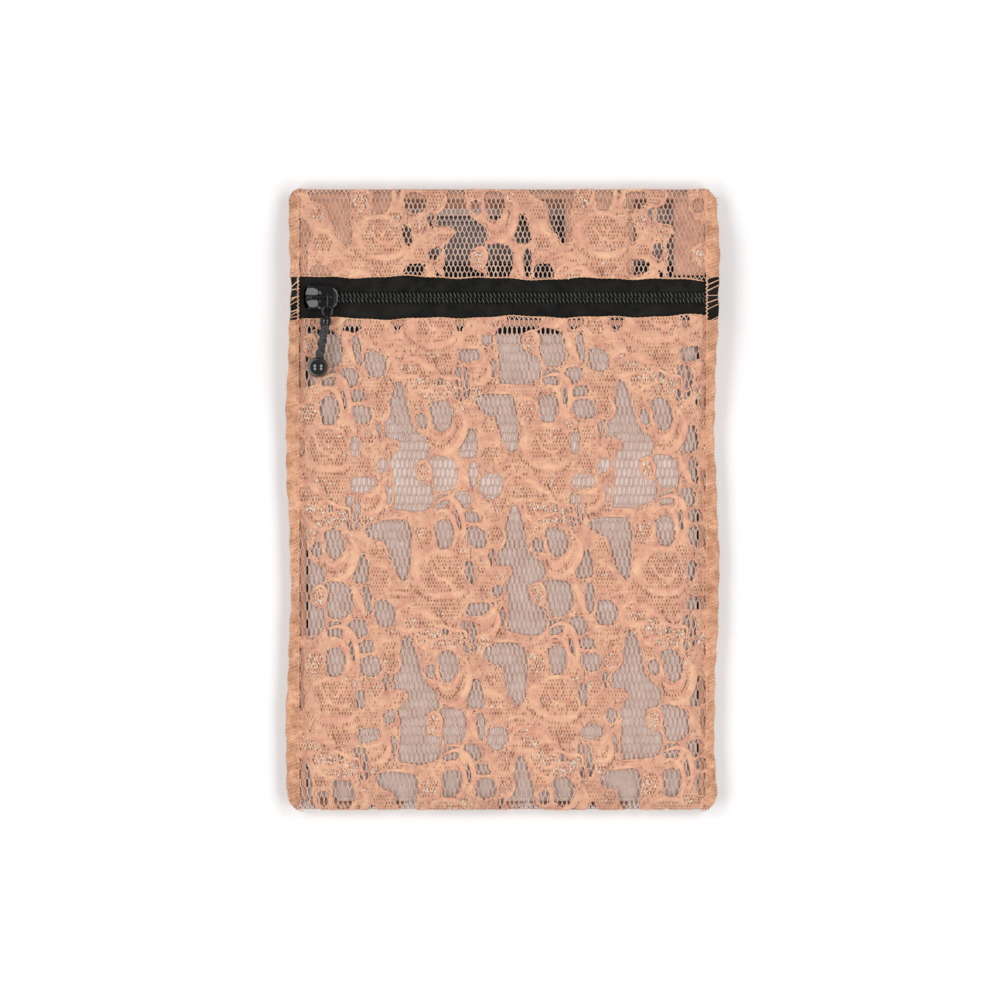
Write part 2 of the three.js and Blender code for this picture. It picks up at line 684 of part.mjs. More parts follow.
const pinchStations = crowded(-linerBottom).filter((y) => y < cellBottom);
const risingShares = evenly(0, 1, CELL_RISE_STEPS).map((share) => share ** 2);
const cellRise = risingShares.map((share) => cellBottom + (shoulderStart - cellBottom) * share);
const cellStations = [...cellRise, ...evenly(shoulderStart, cellTop, MOUTH_STEPS).slice(1)];
const frontLinerStations = [...pinchStations, ...cellStations, cellTop + CELL_TAPER, linerMouth];
const upperStations = evenly(bandEdge, linerTop, UPPER_LINER_STEPS);
const backLinerStations = [...pinchStations, ...cellStations, cellTop + CELL_TAPER, ...upperStations];

function gelCell(index, under, top) {
  const centre = cellCentre(index);
  const xs = evenly(centre - cellWidth / 2, centre + cellWidth / 2, CELL_STEPS);
  return sheet(xs, cellStations, under, top);
}

function linerPieces() {
  const raised = (surface, amount) => (x, y) => surface(x, y) + amount;
  const plainXs = crowded(linerHalf);
  const frontFabric = (xs, top) => sheet(xs, frontLinerStations, raised(top, -FABRIC), top);
  const backFabric = (xs, under) => sheet(xs, backLinerStations, under, raised(under, FABRIC));
  add("liner_front_outer", frontFabric(plainXs, frontOuterTop), linerFinish);
  add("liner_front_inner", frontFabric(channelStations, frontInnerTop), linerFinish);
  add("liner_back_outer", backFabric(plainXs, backOuterUnder), linerFinish);
  add("liner_back_inner", backFabric(channelStations, backInnerUnder), linerFinish);
  const frontCellTop = raised(frontOuterTop, -FABRIC - GAP);
  const frontCellUnder = (x, y) => frontCellTop(x, y) - gelDepth(x, y);
  const backCellUnder = raised(backOuterUnder, FABRIC + GAP);
  const backCellTop = (x, y) => backCellUnder(x, y) + gelDepth(x, y);
  for (let index = 0; index < CELL_COUNT; index += 1) {
    add(`gel_cell_front_${index + 1}`, gelCell(index, frontCellUnder, frontCellTop), gelFinish);
    add(`gel_cell_back_${index + 1}`, gelCell(index, backCellUnder, backCellTop), gelFinish);
  }
}

// Black binding round the liner's edges and along its two open hems
function bindings() {
  for (const [name, side] of [["left", -1], ["right", 1]]) {
    const inner = side * (linerHalf + GAP);
    const outer = inner + side * BINDING_WIDTH;
    const from = linerBottom + BINDING_CORNER_MARGIN;
    const strip = sideStrip(inner, outer, from, linerMouth, BINDING_CORNER, BINDING_THICKNESS, linerLevel);
    add(`liner_binding_${name}`, strip, bindingFinish);
  }
  const bottomLength = 2 * (linerHalf - BINDING_CORNER_MARGIN);
  const bottomY = linerBottom - GAP - BINDING_WIDTH / 2;
  const bar = new THREE.CapsuleGeometry(BINDING_THICKNESS / 2, bottomLength, CAPSULE_STEPS, FOLD_SIDES);
  const bottomBar = bar.rotateZ(Math.PI / 2).translate(0, bottomY, SEAM_HEIGHT);
  add("liner_binding_bottom", bottomBar, bindingFinish);
  const hemXs = crowded(linerHalf);
  const mouthHem = sheet(
    hemXs, [hemTop - BINDING_WIDTH, hemTop], (x, y) => frontOuterTop(x, y) - doubleFabric, frontOuterTop);
  add("liner_mouth_hem", mouthHem, bindingFinish);
  const backHem = evenly(linerTop + GAP, linerTop + GAP + BINDING_WIDTH, HEM_STEPS);
  const topHem = sheet(hemXs, backHem, backOuterUnder, (x, y) => backOuterUnder(x, y) + doubleFabric);
  add("liner_top_hem", topHem, bindingFinish);
}

// Blank dark patch sewn on the back of the liner, under the band
function patch() {
  const top = linerTop - PATCH_TOP_MARGIN;
  const xs = evenly(PATCH_OFFSET - PATCH_WIDTH / 2, PATCH_OFFSET + PATCH_WIDTH / 2, PATCH_STEPS);
  const lift = FABRIC + GAP;
  const under = (x, y) => backInnerUnder(x, y) + lift;
  return sheet(xs, evenly(top - PATCH_HEIGHT, top, PATCH_STEPS), under, (x, y) => under(x, y) + PATCH_THICKNESS);
}

// The cover
add("lace_back_panel", backPanel(), laceFinish);
add("lace_front_panel", frontPanel(), laceFinish);
add("lace_band_left", bandEnd(-1), laceFinish);
add("lace_band_middle", band(evenly(-mouthHalf + GAP / 2, mouthHalf - GAP / 2, FLAP_STEPS)), laceFinish);
add("lace_band_right", bandEnd(1), laceFinish);
add("side_seam_left", sideSeam(-1), threadFinish);
add("side_seam_right", sideSeam(1), threadFinish);

// The zip; its upper half is split where the band lifts
const postEnd = sliderX - SLIDER_LENGTH / 2 + POST_SETBACK + POST_LENGTH;
const chainStart = postEnd + SLIDER_PLAY;
const partEdge = mouthHalf + GAP / 2;
const liftEdge = mouthHalf - GAP / 2;
add("zip_tape_lower", tape(-1, -tapeHalf, tapeHalf), tapeFinish);
add("zip_tape_upper_left", tape(1, -tapeHalf, -partEdge), tapeFinish);
add("zip_tape_upper_middle", tape(1, -liftEdge, liftEdge), tapeFinish);
add("zip_tape_upper_right", tape(1, partEdge, tapeHalf), tapeFinish);
add("zip_teeth_lower", teeth(-1, chainStart, tapeHalf), toothFinish);
add("zip_teeth_upper_left", teeth(1, chainStart, -partEdge), toothFinish);
add("zip_teeth_upper_middle", teeth(1, -liftEdge, liftEdge), toothFinish);
add("zip_teeth_upper_right", teeth(1, partEdge, tapeHalf), toothFinish);

// The slider with its link and puller
const slider = new THREE.Group();
slider.position.set(sliderX, zipY, 0);
coolingCase.add(slider);
add("slider_body", sliderBody(), sliderFinish, slider);
const link = new THREE.Group();
link.position.set(BRIDGE_LENGTH / 2 - BRIDGE_BEND - LINK_FROM_BEND, 0, bridgeZ);
link.rotation.x = -restTilt();
slider.add(link);
add("pull_link", wireLink(), sliderFinish, link);
const puller = new THREE.Group();
puller.position.y = -LINK_SPAN - linkRadius;
puller.rotation.z = -PULLER_LEAN;
link.add(puller);
add("pull_eye", pullerEye(), sliderFinish, puller);
add("pull_stem", pullerStem(), stemFinish, puller);
add("pull_ball", pullerBall(), ballFinish, puller);

// The liner
linerPieces();
bindings();
add("liner_blank_patch", patch(), patchFinish);

export default coolingCase;
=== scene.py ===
"""Looks of the insulin cooling case: a lace pouch with a zip across its front, round a gel-filled liner.

Sizes are in millimetres until a mesh is made, where MM turns them into metres.
"""
import json
import math

import bpy
import numpy as np
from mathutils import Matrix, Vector


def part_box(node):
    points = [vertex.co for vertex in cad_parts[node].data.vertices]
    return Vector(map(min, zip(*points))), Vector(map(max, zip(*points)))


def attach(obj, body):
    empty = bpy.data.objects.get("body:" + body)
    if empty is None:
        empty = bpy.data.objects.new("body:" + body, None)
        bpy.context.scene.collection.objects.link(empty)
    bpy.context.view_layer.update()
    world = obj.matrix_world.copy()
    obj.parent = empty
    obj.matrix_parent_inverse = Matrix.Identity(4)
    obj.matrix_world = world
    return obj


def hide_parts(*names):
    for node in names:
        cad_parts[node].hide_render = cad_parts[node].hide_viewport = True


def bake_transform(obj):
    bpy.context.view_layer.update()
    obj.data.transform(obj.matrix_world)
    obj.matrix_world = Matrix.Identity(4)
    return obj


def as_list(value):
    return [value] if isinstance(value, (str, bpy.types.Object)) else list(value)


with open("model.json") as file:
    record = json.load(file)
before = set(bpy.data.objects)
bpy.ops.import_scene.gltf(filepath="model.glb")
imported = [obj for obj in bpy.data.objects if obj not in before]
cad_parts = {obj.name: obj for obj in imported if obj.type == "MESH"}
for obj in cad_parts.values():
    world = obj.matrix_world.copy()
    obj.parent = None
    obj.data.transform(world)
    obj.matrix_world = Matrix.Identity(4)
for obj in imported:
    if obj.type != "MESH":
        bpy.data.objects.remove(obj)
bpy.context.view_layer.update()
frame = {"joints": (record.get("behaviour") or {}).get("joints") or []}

MM = 0.001
TINY = 1e-9
WELD_DIGITS = 3
LEAST_STATIONS = 3
SEED = 7
rng = np.random.default_rng(SEED)
joints = {joint["name"]: joint for joint in frame["joints"]}


def box_mm(node_name):
    """Lowest and highest corners of a CAD node, in mm."""
    low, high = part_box(node_name)
    return np.array(low) / MM, np.array(high) / MM


def joint_mm(name):
    """Place of a joint, in mm."""
    return np.array(joints[name]["pos_m"]) / MM


# Sizes of the cover, from the frame
PANEL_HALF, FRONT_EDGE, CROWN = box_mm("lace_front_panel")[1]
BAND_LOW, BAND_HIGH = box_mm("lace_band_middle")
TAPE_LOW, TAPE_HIGH = box_mm("zip_tape_lower")
SLIDER_LOW, SLIDER_HIGH = box_mm("slider_body")
HALF_WIDTH, HALF_LENGTH = box_mm("side_seam_right")[1][:2]
UPPER_TAPE_EDGE = box_mm("zip_tape_upper_middle")[1][1]
BAND_EDGE = BAND_LOW[1]
ZIP_TOP = BAND_HIGH[2]
FOLD_Y, SEAM_Z = joint_mm("mouth_open")[1:]
ZIP_Y = (TAPE_LOW[1] + UPPER_TAPE_EDGE) / 2
MOUTH_HALF = (BAND_HIGH[0] - box_mm("lace_band_left")[1][0]) / 2

# Forms of the cover
FOLD_RADIUS = 1.2
ROUNDNESS = 16
ZIP_END_ROUNDNESS = 200
SEAM_RISE = 3
SHOULDER_LENGTH = 34
TAPE_EASE = 1
SHOULDER_END = TAPE_LOW[1] - TAPE_EASE
SHOULDER_START = SHOULDER_END - SHOULDER_LENGTH
BAND_SLOPE = UPPER_TAPE_EDGE + TAPE_EASE
BACK_FLATNESS = 1.85
LACE_MIDDLE = 0.45
LAYER_HALF = 0.85
RIPPLE = 0.22
RIPPLE_EDGE = 6
RIPPLE_WAVES = ((1, 6.1, 17, 0), (1, 9.7, -11.3, 1.3), (1, -21, 7.9, 0.4))


# Mesh building

NEARLY_UPRIGHT = 0.3


class Build:
    """Points and faces gathered for one mesh; each block of faces keeps the number of its material."""

    def __init__(self, *parts):
        self.points = []
        self.blocks = []
        self.total = 0
        for part in parts:
            self.add(*part)

    def add(self, points, blocks, kind=0):
        points = np.asarray(points, float)
        self.points.append(points)
        for faces in blocks:
            self.blocks.append((np.asarray(faces, int) + self.total, kind))
        self.total += len(points)

    def shape(self, change):
        """The same faces over changed points."""
        self.points = [change(np.concatenate(self.points))]
        return self


def make(name, build, looks, smooth=True):
    """Mesh object from gathered points in mm, without the points that no face uses."""
    points = np.concatenate(build.points)
    used = np.unique(np.concatenate([faces.ravel() for faces, _ in build.blocks]))
    fresh = np.zeros(len(points), int)
    fresh[used] = np.arange(len(used))
    polygons = []
    kinds = []
    for faces, kind in build.blocks:
        polygons += fresh[faces].tolist()
        kinds += [kind] * len(faces)
    mesh = bpy.data.meshes.new(name)
    mesh.from_pydata((points[used] * MM).tolist(), [], polygons)
    for finish in looks:
        mesh.materials.append(finish)
    mesh.polygons.foreach_set("material_index", kinds)
    mesh.polygons.foreach_set("use_smooth", [smooth] * len(polygons))
    mesh.update()
    return in_scene(name, mesh)


def in_scene(name, data):
    """Object in the scene that shows a mesh, a lamp or a camera."""
    added = bpy.data.objects.new(name, data)
    bpy.context.scene.collection.objects.link(added)
    return added


def settle(piece, body, slot, node_name=None):
    """The piece rides on a body and may stand for a CAD node; its slot is not used."""
    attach(piece, body)
    if node_name:
        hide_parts(node_name)
    return piece


def turns(count):
    """Even angles once round."""
    return 2 * math.pi * np.arange(count) / count


def squarish(angles, power):
    """Across and up round an outline between a circle and a square; a lower power is squarer."""
    across, up = np.cos(angles), np.sin(angles)
    return np.sign(across) * np.abs(across) ** power, np.sign(up) * np.abs(up) ** power


def quads(*corners):
    return np.stack(corners, axis=-1).reshape(-1, 4)


def loft(rings, closed=False):
    """Skin over rings of points, with flat ends unless the last ring joins the first."""
    rings = np.asarray(rings, float)
    count, sides = rings.shape[:2]
    index = np.arange(count * sides).reshape(count, sides)
    here = index if closed else index[:-1]
    ahead = np.roll(index, -1, axis=0) if closed else index[1:]
    blocks = [quads(here, np.roll(here, -1, axis=1), np.roll(ahead, -1, axis=1), ahead)]
    if not closed:
        blocks += [index[:1, ::-1], index[-1:]]
    return rings.reshape(-1, 3), blocks


def tube(path, radius, sides=6, closed=False):
    """Round thread along a path of points."""
    path = np.asarray(path, float)
    if closed:
        along = np.roll(path, -1, axis=0) - np.roll(path, 1, axis=0)
    else:
        along = np.gradient(path, axis=0)
    along /= np.linalg.norm(along, axis=1, keepdims=True)
    side = np.cross(along[0], (0, 0, 1))
    if np.linalg.norm(side) < NEARLY_UPRIGHT:
        side = np.cross(along[0], (0, 1, 0))
    sideways = []
    for direction in along:
        side = side - direction * (side @ direction)
        side /= np.linalg.norm(side)
        sideways.append(side)
    sideways = np.array(sideways)
    upward = np.cross(sideways, along)
    cos, sin = np.cos(turns(sides))[None, :, None], np.sin(turns(sides))[None, :, None]
    ring = cos * sideways[:, None] + sin * upward[:, None]
    return loft((path[:, None] + radius * ring)[:, ::-1], closed)


def layered(xs, ys, under, top):
    """Closed sheet between two surfaces over a grid of stations."""
    x, y = np.meshgrid(xs, ys)
    points = [np.stack([x, y, surface(x, y)], axis=-1).reshape(-1, 3) for surface in (top, under)]
    index = np.arange(x.size).reshape(x.shape)
    faces = quads(index[:-1, :-1], index[:-1, 1:], index[1:, 1:], index[1:, :-1])
    rim = np.concatenate([index[0, :-1], index[:-1, -1], index[-1, :0:-1], index[:0:-1, 0]])
    ahead = np.roll(rim, -1)
    walls = quads(rim + x.size, ahead + x.size, ahead, rim)
    return np.concatenate(points), [faces, faces[:, ::-1] + x.size, walls]


# Surfaces of the pouch

def ease(value, start, end):
    """Smooth step from 0 at start to 1 at end."""
    share = np.clip((value - start) / (end - start), 0, 1)
    return share * share * (3 - 2 * share)


def fullness(distance, half, exponent):
    """How full the pouch is at a distance from its middle: 1 there and 0 at the edge."""
    return 1 - np.minimum(1, np.abs(distance / half)) ** exponent


def shifted(surface, amount):
    """A surface moved up by an amount."""
    return lambda x, y: surface(x, y) + amount


def waves(rows, x, y=0):
    """Sum of sine waves; each row has a height, a length across, a length along and a phase."""
    return sum(height * np.sin(x / across + y / along + phase) for height, across, along, phase in rows)


def bent_wave(first, second, length, bend, bend_length):
    """Sine wave over the first measure whose crests bend with the second."""
    return np.sin(first / length + bend * np.sin(second / bend_length))


def near_zip(y):
    """1 along the zip, falling to 0 down the front and at the top fold."""
    return ease(y, SHOULDER_START, SHOULDER_END) * (1 - ease(y, BAND_SLOPE, FOLD_Y))


def seam_level(y):
    """Middle of the side seams, which rise beside the zip."""
    return SEAM_Z + SEAM_RISE * near_zip(y)


def ripple(x, y):
    """Soft unevenness of the filled cloth, none at its edges and along the zip."""
    calm = fullness(x, PANEL_HALF, RIPPLE_EDGE) * fullness(y, FOLD_Y, RIPPLE_EDGE) * (1 - near_zip(y))
    return RIPPLE * waves(RIPPLE_WAVES, x, y) * calm


def front_height(x, y):
    """Top of the front lace."""
    edge = SEAM_Z + FOLD_RADIUS
    lower = edge + (CROWN - edge) * fullness(y, FOLD_Y, ROUNDNESS)
    upper = CROWN + (ZIP_TOP - CROWN) * ease(y, SHOULDER_START, SHOULDER_END)
    along = np.clip((y - BAND_SLOPE) / (FOLD_Y - BAND_SLOPE), 0, 1)
    slope = edge + (ZIP_TOP - edge) * np.cos(along * math.pi / 2)
    crown = np.where(y < 0, lower, np.where(y < BAND_SLOPE, upper, slope))
    side = np.minimum(crown, seam_level(y) + LAYER_HALF)
    exponent = ROUNDNESS * (ZIP_END_ROUNDNESS / ROUNDNESS) ** near_zip(y)
    return side + (crown - side) * fullness(x, PANEL_HALF, exponent) + ripple(x, y)


def back_height(x, y):
    """Underside of the back lace, flat where the case lies on it."""
    by_fold = np.abs(y) > FOLD_Y - SHOULDER_LENGTH / 2
    edge = np.where(by_fold, SEAM_Z - FOLD_RADIUS, seam_level(y) - LAYER_HALF)
    full = fullness(x, PANEL_HALF, ROUNDNESS) * fullness(y, FOLD_Y, ROUNDNESS)
    return np.maximum(0, edge - (edge + BACK_FLATNESS) * full)


# Materials

WAVE_RADIANS = 20
WEFT_TO_WARP = 1.3
WEAVE_DISTORTION = 0.4


def srgb(red, green, blue):
    """Linear colour of an 8-bit screen colour."""
    values = np.array([red, green, blue]) / 255
    linear = np.where(values <= 0.04045, values / 12.92, ((values + 0.055) / 1.055) ** 2.4)
    return (*linear.tolist(), 1.0)


def shader_inputs(made):
    return made.node_tree.nodes["Principled BSDF"].inputs


def set_values(inputs, values):
    """Plain values on sockets, named with _ for each space."""
    for socket, value in values.items():
        inputs[socket.replace("_", " ")].default_value = value


def look(name, colour, roughness, **sockets):
    """New material of an 8-bit screen colour, with plain values on the other sockets of its shader."""
    made = bpy.data.materials.new(name)
    made.use_nodes = True
    set_values(shader_inputs(made), {"Base_Color": srgb(*colour), "Roughness": roughness, **sockets})
    return made


def node(made, kind, **sockets):
    added = made.node_tree.nodes.new(kind)
    set_values(added.inputs, sockets)
    return added


def link(made, start, end):
    made.node_tree.links.new(start, end)


def calculate(made, operation, first, second):
    """Math node on a socket and a second socket or plain number."""
    step = node(made, "ShaderNodeMath")
    step.operation = operation
    link(made, first, step.inputs[0])
    if isinstance(second, float):
        step.inputs[1].default_value = second
    else:
        link(made, second, step.inputs[1])
    return step.outputs["Value"]


def place_of(made, stretch=(1, 1, 1)):
    """Object coordinates, stretched along the axes."""
    where = node(made, "ShaderNodeTexCoord")
    scaled = node(made, "ShaderNodeMapping", Scale=stretch)
    link(made, where.outputs["Object"], scaled.inputs["Vector"])
    return scaled.outputs["Vector"]


def noise(made, size_mm, detail=3.0, stretch=(1, 1, 1), grain=0.5):
    """Noise with blotches about that size; more grain brings out the fine parts."""
    cloud = node(made, "ShaderNodeTexNoise", Scale=1 / (size_mm * MM), Detail=detail, Roughness=grain)
    link(made, place_of(made, stretch), cloud.inputs["Vector"])
    return cloud.outputs["Fac"]


def bands(made, period_mm, direction):
    """Even bands across one axis; the texture has WAVE_RADIANS to a unit."""
    wave = node(made, "ShaderNodeTexWave", Scale=2 * math.pi / (WAVE_RADIANS * period_mm * MM),
                Distortion=WEAVE_DISTORTION)
    wave.bands_direction = direction
    link(made, place_of(made), wave.inputs["Vector"])
    return wave.outputs["Fac"]


def tint(made, amount, low, high, start=0.3, end=0.7):
    """Base colour running from low to high with an amount."""
    ramp = node(made, "ShaderNodeValToRGB")
    first, last = ramp.color_ramp.elements
    first.position = start
    first.color = srgb(*low)
    last.position = end
    last.color = srgb(*high)
    link(made, amount, ramp.inputs["Fac"])
    link(made, ramp.outputs["Color"], shader_inputs(made)["Base Color"])


def relief(made, height, depth_mm, strength=1.0):
    bump = node(made, "ShaderNodeBump", Strength=strength, Distance=depth_mm * MM)
    link(made, height, bump.inputs["Height"])
    link(made, bump.outputs["Normal"], shader_inputs(made)["Normal"])


def roughen(made, amount, low, high):
    """Roughness running from low to high with an amount."""
    span = node(made, "ShaderNodeMapRange", To_Min=low, To_Max=high)
    link(made, amount, span.inputs["Value"])
    link(made, span.outputs["Result"], shader_inputs(made)["Roughness"])


def thread_look(name, low, high, fibre_mm=0.3, depth_mm=0.08):
    """Soft yarn: blotches a few mm wide, fine fibres and a little sheen."""
    made = look(name, high, roughness=0.7, Sheen_Weight=0.2, Sheen_Roughness=0.5, Specular_IOR_Level=0.3)
    tint(made, noise(made, size_mm=4.0, detail=6.0, grain=0.78), low, high, start=0.38, end=0.62)
    relief(made, noise(made, fibre_mm, detail=2.0, stretch=(1, 0.35, 1)), depth_mm)
    return made


def woven_look(name, low, high, period_mm, depth_mm, roughness=0.8, sheen=0.15):
    """Close weave of crossing threads."""
    made = look(name, high, roughness, Sheen_Weight=sheen, Sheen_Roughness=0.5, Specular_IOR_Level=0.25)
    warp = bands(made, period_mm, "X")
    weft = bands(made, period_mm * WEFT_TO_WARP, "Y")
    weave = calculate(made, "MULTIPLY", warp, weft)
    tint(made, noise(made, size_mm=5.0, detail=7.0, grain=0.75), low, high)
    relief(made, weave, depth_mm)
    return made


def gloss_look(name, low, high, roughness, **sockets):
    """Smooth glossy finish with faint cloudiness and fine scuffs."""
    made = look(name, high, roughness, **sockets)
    tint(made, noise(made, size_mm=2.0), low, high)
    roughen(made, noise(made, size_mm=0.6, detail=4.0), low=roughness * 0.8, high=roughness * 1.5)
    relief(made, noise(made, size_mm=1.2, detail=2.0), depth_mm=0.01, strength=0.3)
    return made


LACE_SATIN = thread_look("lace_satin", (226, 160, 138), (248, 198, 160), 0.4, 0.16)
LACE_GROUND = thread_look("lace_ground", (213, 153, 131), (242, 189, 154), 0.4, 0.2)
# Painted shade, deep: closes the floors of the wide pits and colours the dark dashes for the gaps between
# stitches.
LACE_PAINTED_SHADE_DEEP = thread_look("lace_painted_shade_deep", (147, 100, 74), (177, 126, 98))
# Painted shade, paler: closes the floors of the narrow pits.
LACE_PAINTED_SHADE_PALE = thread_look("lace_painted_shade_pale", (158, 114, 91), (190, 144, 117))
LACE_NET = thread_look("lace_net", (220, 182, 162), (238, 201, 182))
LACE_EDGE = thread_look("lace_cut_edge", (222, 167, 134), (245, 195, 156))
LACE_FACING = thread_look("lace_facing", (201, 143, 113), (229, 171, 141), 0.5, 0.25)
# Metallic thread coloured near-white: a painted glint.
METALLIC_THREAD_PAINTED_GLINT = gloss_look("metallic_thread_painted_glint", (252, 238, 216), (253, 247, 236), 0.3, Metallic=0.1)
OVERLOCK = thread_look("overlock_thread", (217, 159, 124), (255, 211, 177), 0.2, 0.06)
# Runs darker than the lace: painted shade for the gaps between the overlock stitches, with random mottling.
SEAM_CLOTH_PAINTED_SHADE = thread_look("seam_cloth_painted_shade", (183, 129, 97), (242, 187, 151), 0.5, 0.25)
TAPE = woven_look("zip_tape", (2, 2, 2), (40, 39, 36), 0.5, 0.14, roughness=0.9, sheen=0.03)
# The black coil is coloured grey: a painted highlight on its turns.
COIL_PAINTED_HIGHLIGHT = gloss_look("zip_coil", (38, 38, 37), (70, 70, 68), 0.3, Specular_IOR_Level=0.8)
ENAMEL = gloss_look("black_enamel", (7, 7, 8), (16, 16, 17), 0.14,
                    Specular_IOR_Level=0.4, Coat_Weight=0.3, Coat_Roughness=0.05)
BRAID = look("braided_cord", (33, 35, 35), 0.55, Specular_IOR_Level=0.5)
tint(BRAID, noise(BRAID, size_mm=0.4, detail=4.0, grain=0.7), (10, 11, 11), (85, 87, 85), 0.42, 0.64)
BALL = gloss_look("gloss_ball", (8, 8, 10), (14, 14, 15), 0.05, Coat_Weight=1.0, Coat_Roughness=0.02)
LINER = woven_look("liner_fabric", (217, 197, 189), (233, 216, 208), 0.45, 0.04)
LINER_THREAD = thread_look("liner_thread", (223, 216, 220), (244, 240, 244), 0.2, 0.04)
GEL = gloss_look("cooling_gel", (212, 231, 244), (238, 250, 252), 0.3, Subsurface_Weight=0.3)
BINDING = woven_look("binding", (23, 21, 24), (38, 35, 39), 0.6, 0.08)
PATCH = woven_look("blank_patch", (134, 126, 124), (162, 154, 152), 0.4, 0.05)


# One repeat of the floral lace, in mm from the heart of the large rose

REPEAT_ACROSS = np.array([67.4, 0.9])
REPEAT_DOWN = np.array([-32.5, -38.6])
RAISED = 0.36

# Outlines of the windows of bare net
WINDOWS = (
    ((-7.2, -1.4), (-6, -2.6), (-4.4, -7.2), (-3.7, -12.4), (-2.3, -16), (1.9, -19.6), (2.1, -23), (0, -25),
     (-2.2, -26.2), (-2.3, -28.6), (-1.6, -30.9), (2.2, -32.8), (2.7, -37.4), (0.8, -39.7), (-4.1, -40.2),
     (-8.6, -39.7), (-9.2, -34), (-9.2, -28.2), (-10, -25.8), (-8.8, -23.8), (-6.7, -21), (-8.3, -18.9),
     (-12, -18.4), (-12.6, -16.2), (-10.6, -12.4), (-9.2, -7.2), (-7.9, -2.4)),
    ((2.2, -8.4), (4.8, -7.2), (7.2, -8), (8.6, -11.4), (7.5, -15.1), (5.2, -16.4), (3.1, -14), (2.6, -11)),
    ((-1.8, -11.8), (-0.2, -10.9), (1.4, -12.4), (0.8, -14.9), (-1.3, -14.5)),
    ((12.4, -16.4), (14.6, -15.2), (16.1, -18.8), (15.9, -23), (11.9, -23.3), (11.6, -20)),
    ((2.2, -24.6), (5.6, -23.8), (9.4, -25.2), (10.3, -29), (9.8, -32.6), (8, -34.2), (5, -34.6),
     (3.4, -32.4), (2.8, -28.2)),
    ((14.6, -25.4), (16.1, -26.2), (16.1, -32.6), (15, -32.9), (14, -29.4)),
    ((4, -36.4), (6.2, -35.6), (8, -36.2), (8, -38.6), (6.6, -40.2), (4.2, -39.6)),
    ((10.4, -35.4), (13.4, -34.9), (15, -36.4), (14.8, -39), (11.8, -40), (10, -38)),
    ((-31.2, -6.8), (-28.6, -5.6), (-26.4, -7), (-26.4, -10.8), (-27.8, -13.8), (-30.4, -14), (-31.4, -10.6)),
    ((-21.6, -3.8), (-18.4, -3.5), (-17.6, -5.8), (-19.6, -6.4), (-21.6, -6)),
    ((-21.4, -8.6), (-18, -8), (-16, -9.4), (-16.2, -12.9), (-19.2, -13.8), (-21.4, -12.2)),
    ((-50.6, -6.6), (-45.4, -5.6), (-40, -6.2), (-38.9, -10.4), (-39.2, -15), (-38.8, -18.8), (-39.2, -22.6),
     (-40.8, -23.8), (-43, -20.6), (-44.9, -16.2), (-46.2, -12.4), (-49, -11), (-51.4, -9)),
    ((-21.8, -18.4), (-20, -18.6), (-19.8, -23), (-20.9, -24.3), (-22, -21.6)),
    ((-21.6, -31), (-18, -30.2), (-15.4, -31), (-16, -33.2), (-19, -34.2), (-21.6, -33.8)),
    ((-11.8, -32.8), (-10.5, -33.8), (-10.3, -36.8), (-11.1, -38.2), (-11.7, -35.6)),
    ((-22.6, -36), (-19.4, -36.6), (-18.6, -39.6), (-20, -42.6), (-22.2, -41), (-22.8, -38)),
    ((-49.4, -30.8), (-46, -30.4), (-43.9, -32.6), (-44.1, -36.2), (-46, -37.7), (-49, -36.5), (-50, -33.4)),
    ((-14.5, -14.8), (-13.2, -14.2), (-13, -18), (-14.2, -18.8), (-14.9, -16.6)),
    ((-13.8, -26), (-11.8, -25), (-10.9, -26.8), (-12.4, -29), (-14, -28.2)),
    ((-24.7, -3.6), (-23.8, -4), (-23.5, -8), (-24.2, -8.6), (-24.6, -6.4)),
    ((12.2, 2.8), (13.6, -0.4), (13.8, -4.8), (12.6, -6.6), (11.9, -4.8), (12.5, -1.2)),
    ((10.2, -4.6), (11.2, -4.4), (11.2, -7), (10.2, -6.8)),
    ((-27.9, -37.8), (-27, -37.6), (-27, -41.2), (-27.8, -41.4)),
)

